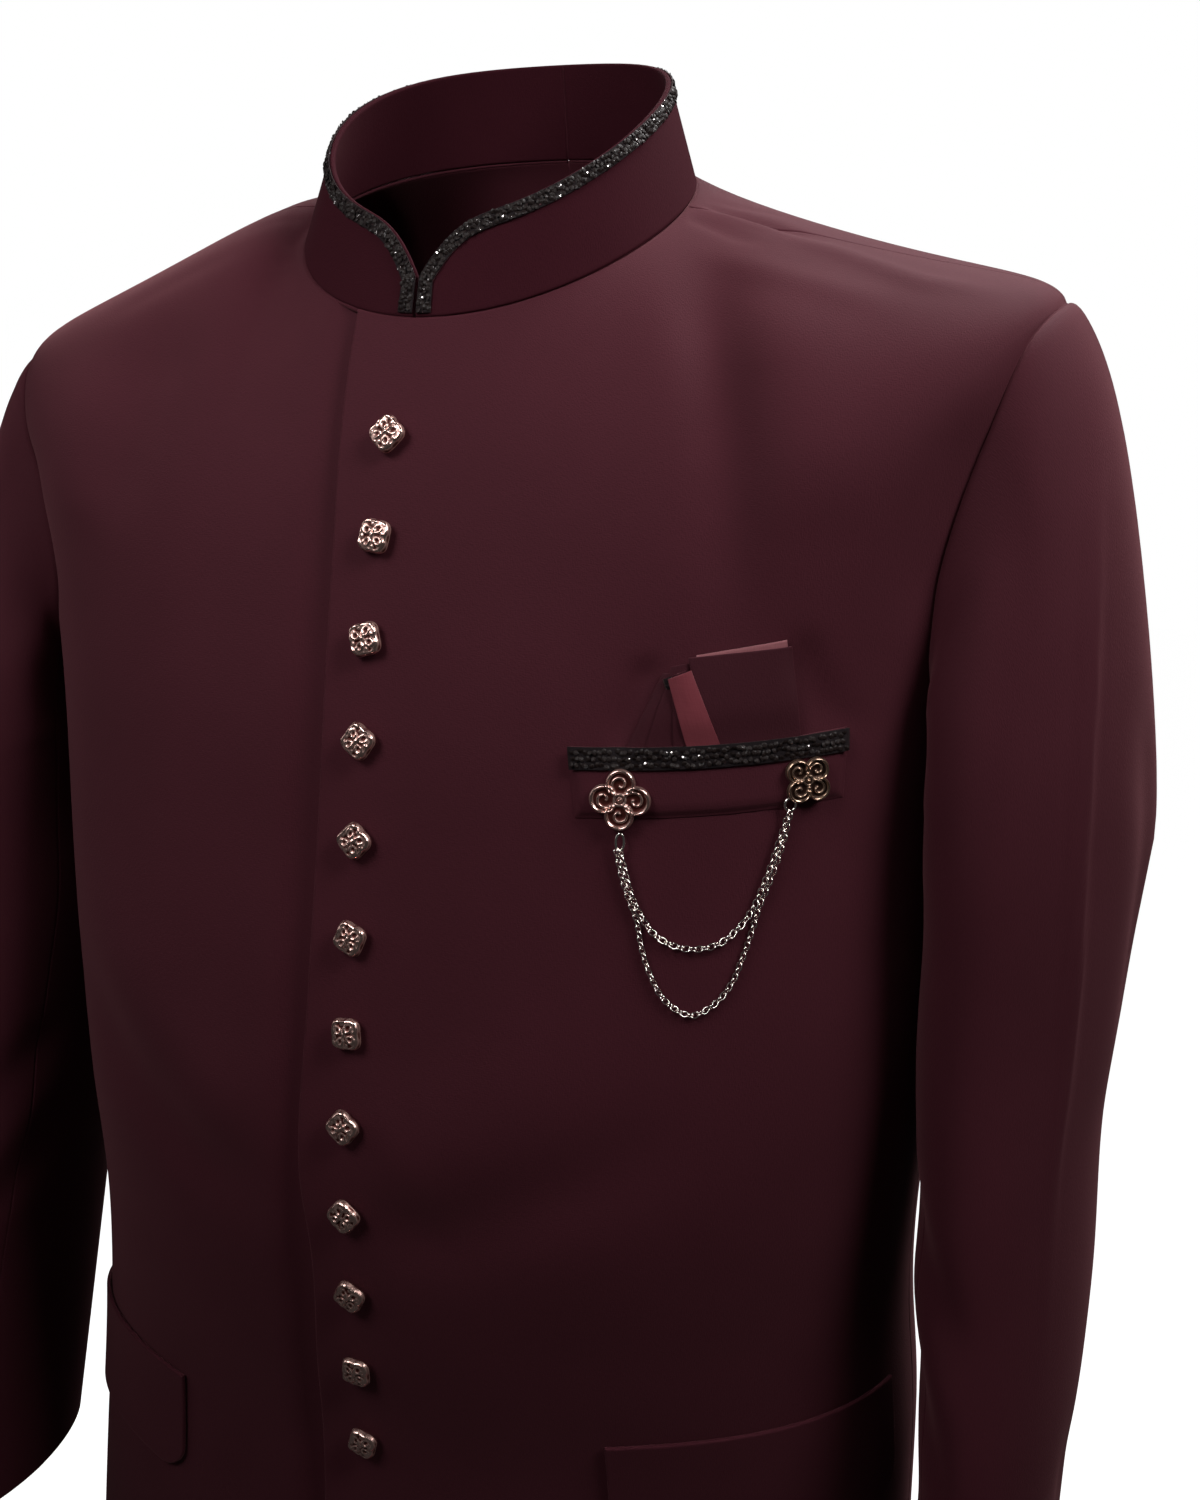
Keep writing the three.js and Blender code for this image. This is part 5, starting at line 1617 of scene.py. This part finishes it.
HALVES = ((1, "left"), (-1, "right"))
BEADED = {"band": band_cloth, "sequins": sequins}
SLEEVE_COLUMNS = {"top": 58, "under": 34}
TRIM_COLUMNS = {"collar": 260, "pocket": 60}
COLLAR_SEED, POCKET_SEED = 11, 5
cloth_pieces = {}


def dress(piece, slot, *nodes):
    """Puts a piece on the part's one body, in place of its solids."""
    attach(piece, "root")
    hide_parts(*nodes)
    return piece


def wool_piece(node, made, outside=wool):
    cloth_pieces[node] = dress(finish_with(made, outside, lining), "wine_cloth", node)


for half, word in HALVES:
    wool_piece(f"front_{word}", body_panel(f"cloth_front_{word}", half, True))
    wool_piece(f"back_{word}", body_panel(f"cloth_back_{word}", half, False))
    seams = seam_turn(True), seam_turn(False)
    top = sleeve_piece(f"cloth_sleeve_{word}_top", half, *seams, SLEEVE_COLUMNS["top"])
    wool_piece(f"sleeve_{word}_top", top)
    round_by_back = seams[1], seams[0] + 2 * math.pi
    under = sleeve_piece(f"cloth_sleeve_{word}_under", half, *round_by_back, SLEEVE_COLUMNS["under"])
    wool_piece(f"sleeve_{word}_under", under)
    # The collar takes the darkened suiting, which is painted shade
    wool_piece(f"collar_{word}", collar_half(f"cloth_collar_{word}", half), collar_wool_painted_shade)
    wool_piece(f"flap_{word}", hip_flap(f"cloth_flap_{word}", half))
    dress(beaded_band(
        f"beads_collar_{word}", lambda d, t, half=half: collar_trim_places(half, d, t),
        TRIM_WIDTH, TRIM_INSET, LAY_GAP, BEADED, COLLAR_SEED + half, TRIM_COLUMNS["collar"], (0.01, 1.0),
    ), "black_beads", f"collar_trim_{word}")

wool_piece("pocket_welt", pocket_welt("cloth_pocket_welt"))
dress(beaded_band(
    "beads_pocket", welt_places, POCKET_TRIM_WIDTH, 0.0, ORNAMENT_LIFT, BEADED, POCKET_SEED,
    TRIM_COLUMNS["pocket"], (0.0, 1.0),
), "black_beads", "pocket_trim")
# The pale and satin finishes carry painted highlights, and the dark finish is painted shade
folds = {"plain": square_cloth, "satin": satin, "pale": satin_edge_painted_highlight, "dark": band_cloth}
square = joined("folded_square", [square_layer(folds, **layer) for layer in SQUARE_LAYERS])
cloth_pieces["pocket_square"] = dress(square, "wine_satin", "pocket_square")

for k, button in enumerate(make_buttons()):
    dress(finish_with(button, pewter), "button_metal", f"button_{k + 1:02d}")
for end, metal in (("left", pewter), ("right", bronze)):
    brooch = make_brooch(f"cast_brooch_{end}", **BROOCHES[end])
    dress(finish_with(brooch, metal), "chain_metal", f"brooch_{end}")
    ring = make_ring(f"wire_ring_{end}", **RINGS[end])
    dress(finish_with(ring, links), "chain_metal", f"ring_{end}")
for chain in CHAINS:
    made = make_chain("links_" + chain["name"], links, chain["radius"], chain["over"], chain["route"])
    dress(made, "chain_metal", chain["name"])

rolls = finish_with(seam_rolls(), wool)
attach(rolls, "root")

# Sheets: width, length and area in metres that each cloth piece is cut to, of what shows, how it is
# held and the pieces it is sewn to or lies on

SHEETS = (
    {"node": "front_left", "flat": (0.33, 0.80), "area": 0.207, "held": "hung", "on": ()},
    {"node": "front_right", "flat": (0.32, 0.80), "area": 0.205, "held": "hung", "on": ()},
    {"node": "back_left", "flat": (0.285, 0.79), "area": 0.198, "held": "hung", "on": ("front_left",)},
    {"node": "back_right", "flat": (0.285, 0.79), "area": 0.196, "held": "hung", "on": ("front_right",)},
    {"node": "sleeve_left_top", "flat": (0.27, 0.63), "area": 0.115, "held": "hung", "on": ("front_left",)},
    {"node": "sleeve_left_under", "flat": (0.16, 0.5), "area": 0.049, "held": "hung", "on": ("back_left",)},
    {"node": "sleeve_right_top", "flat": (0.27, 0.61), "area": 0.11, "held": "hung", "on": ("front_right",)},
    {"node": "sleeve_right_under", "flat": (0.16, 0.49), "area": 0.048, "held": "hung",
     "on": ("back_right",)},
    {"node": "collar_left", "flat": (0.26, 0.045), "area": 0.0092, "held": "hung", "on": ("front_left",)},
    {"node": "collar_right", "flat": (0.26, 0.045), "area": 0.0092, "held": "hung", "on": ("front_right",)},
    {"node": "flap_left", "flat": (0.155, 0.056), "area": 0.0075, "held": "laid", "on": ("front_left",)},
    {"node": "flap_right", "flat": (0.155, 0.056), "area": 0.0073, "held": "laid", "on": ("front_right",)},
    {"node": "pocket_welt", "flat": (0.105, 0.028), "area": 0.0027, "held": "laid", "on": ("front_left",)},
    {"node": "pocket_square", "flat": (0.075, 0.065), "area": 0.0041, "held": "folded",
     "on": ("pocket_welt",)},
)
for row in SHEETS:
    on = [cloth_pieces[node] for node in row["on"]]

# Studio


def area_light(name, place, target, size, power, spread):
    """A round soft light that shines at a target and isn't seen itself."""
    data = bpy.data.lights.new(name, "AREA")
    data.shape = "DISK"
    data.size = size
    data.energy = power
    data.spread = math.radians(spread)
    light = bpy.data.objects.new(name, data)
    way = Vector(target) - Vector(place)
    light.matrix_world = Matrix.Translation(place) @ way.to_track_quat("-Z", "Y").to_matrix().to_4x4()
    light.visible_camera = False
    bpy.context.scene.collection.objects.link(light)


# Place, target and size in metres, power in watts, spread in degrees
LIGHTS = (
    ("side", (0.80, -0.25, 0.50), (0.2, 0.0, -0.05), 0.5, 1.35, 75),
    ("shoulder", (0.30, 0.35, 0.60), (0.2, 0.0, -0.1), 0.4, 7, 180),
    ("front", (-0.30, -0.75, 0.45), (-0.03, 0.0, -0.10), 0.55, 1.0, 72),
    ("back", (-0.7, 1.3, 0.7), (0, 0, -0.3), 1.2, 6, 180),
    ("fill", (-1.3, -0.45, 0.1), (-0.1, 0, -0.3), 0.8, 1.2, 180),
)
for light_row in LIGHTS:
    area_light(*light_row)

FLOOR_HALF = 9000
FLOOR_Z = -1450
WORLD_LIGHT = 0.03


def make_floor():
    """A wide pale floor well below the jacket."""
    corners = ((-1, -1), (1, -1), (1, 1), (-1, 1))
    points = np.array([(x * FLOOR_HALF, y * FLOOR_HALF, FLOOR_Z) for x, y in corners], float)
    floor = make_mesh("floor", points, np.array([[0, 1, 2, 3]]))
    material, net = new_material("pale_floor")
    solid = net.add("ShaderNodeTexCoord", out="Object")
    tone = noise(net, solid, scale=3.0, detail=2.0)
    shader = net.add("ShaderNodeBsdfPrincipled", None, {
        "Base Color": mixed(net, tone, (0.86, 0.86, 0.86, 1), (0.9, 0.9, 0.9, 1)), "Roughness": 0.9,
        "Emission Color": (1, 1, 1, 1), "Emission Strength": 0.97,
    })
    net.add("ShaderNodeOutputMaterial", None, {"Surface": shader})
    finish_with(floor, material)
    floor.visible_diffuse = floor.visible_glossy = False


def make_world():
    """White where the camera sees it, and nearly dark as a light."""
    world = bpy.data.worlds.new("studio")
    world.use_nodes = True
    net = Net(world.node_tree)
    seen = net.add("ShaderNodeLightPath", out="Is Camera Ray")
    dim = net.add("ShaderNodeBackground", None, {"Color": (1, 1, 1, 1), "Strength": WORLD_LIGHT})
    white = net.add("ShaderNodeBackground", None, {"Color": (1, 1, 1, 1), "Strength": 1.0})
    both = net.add("ShaderNodeMixShader", None, {0: seen, 1: dim, 2: white})
    net.add("ShaderNodeOutputWorld", None, {"Surface": both})
    bpy.context.scene.world = world


make_floor()
make_world()
bpy.context.scene.view_settings.view_transform = "Standard"
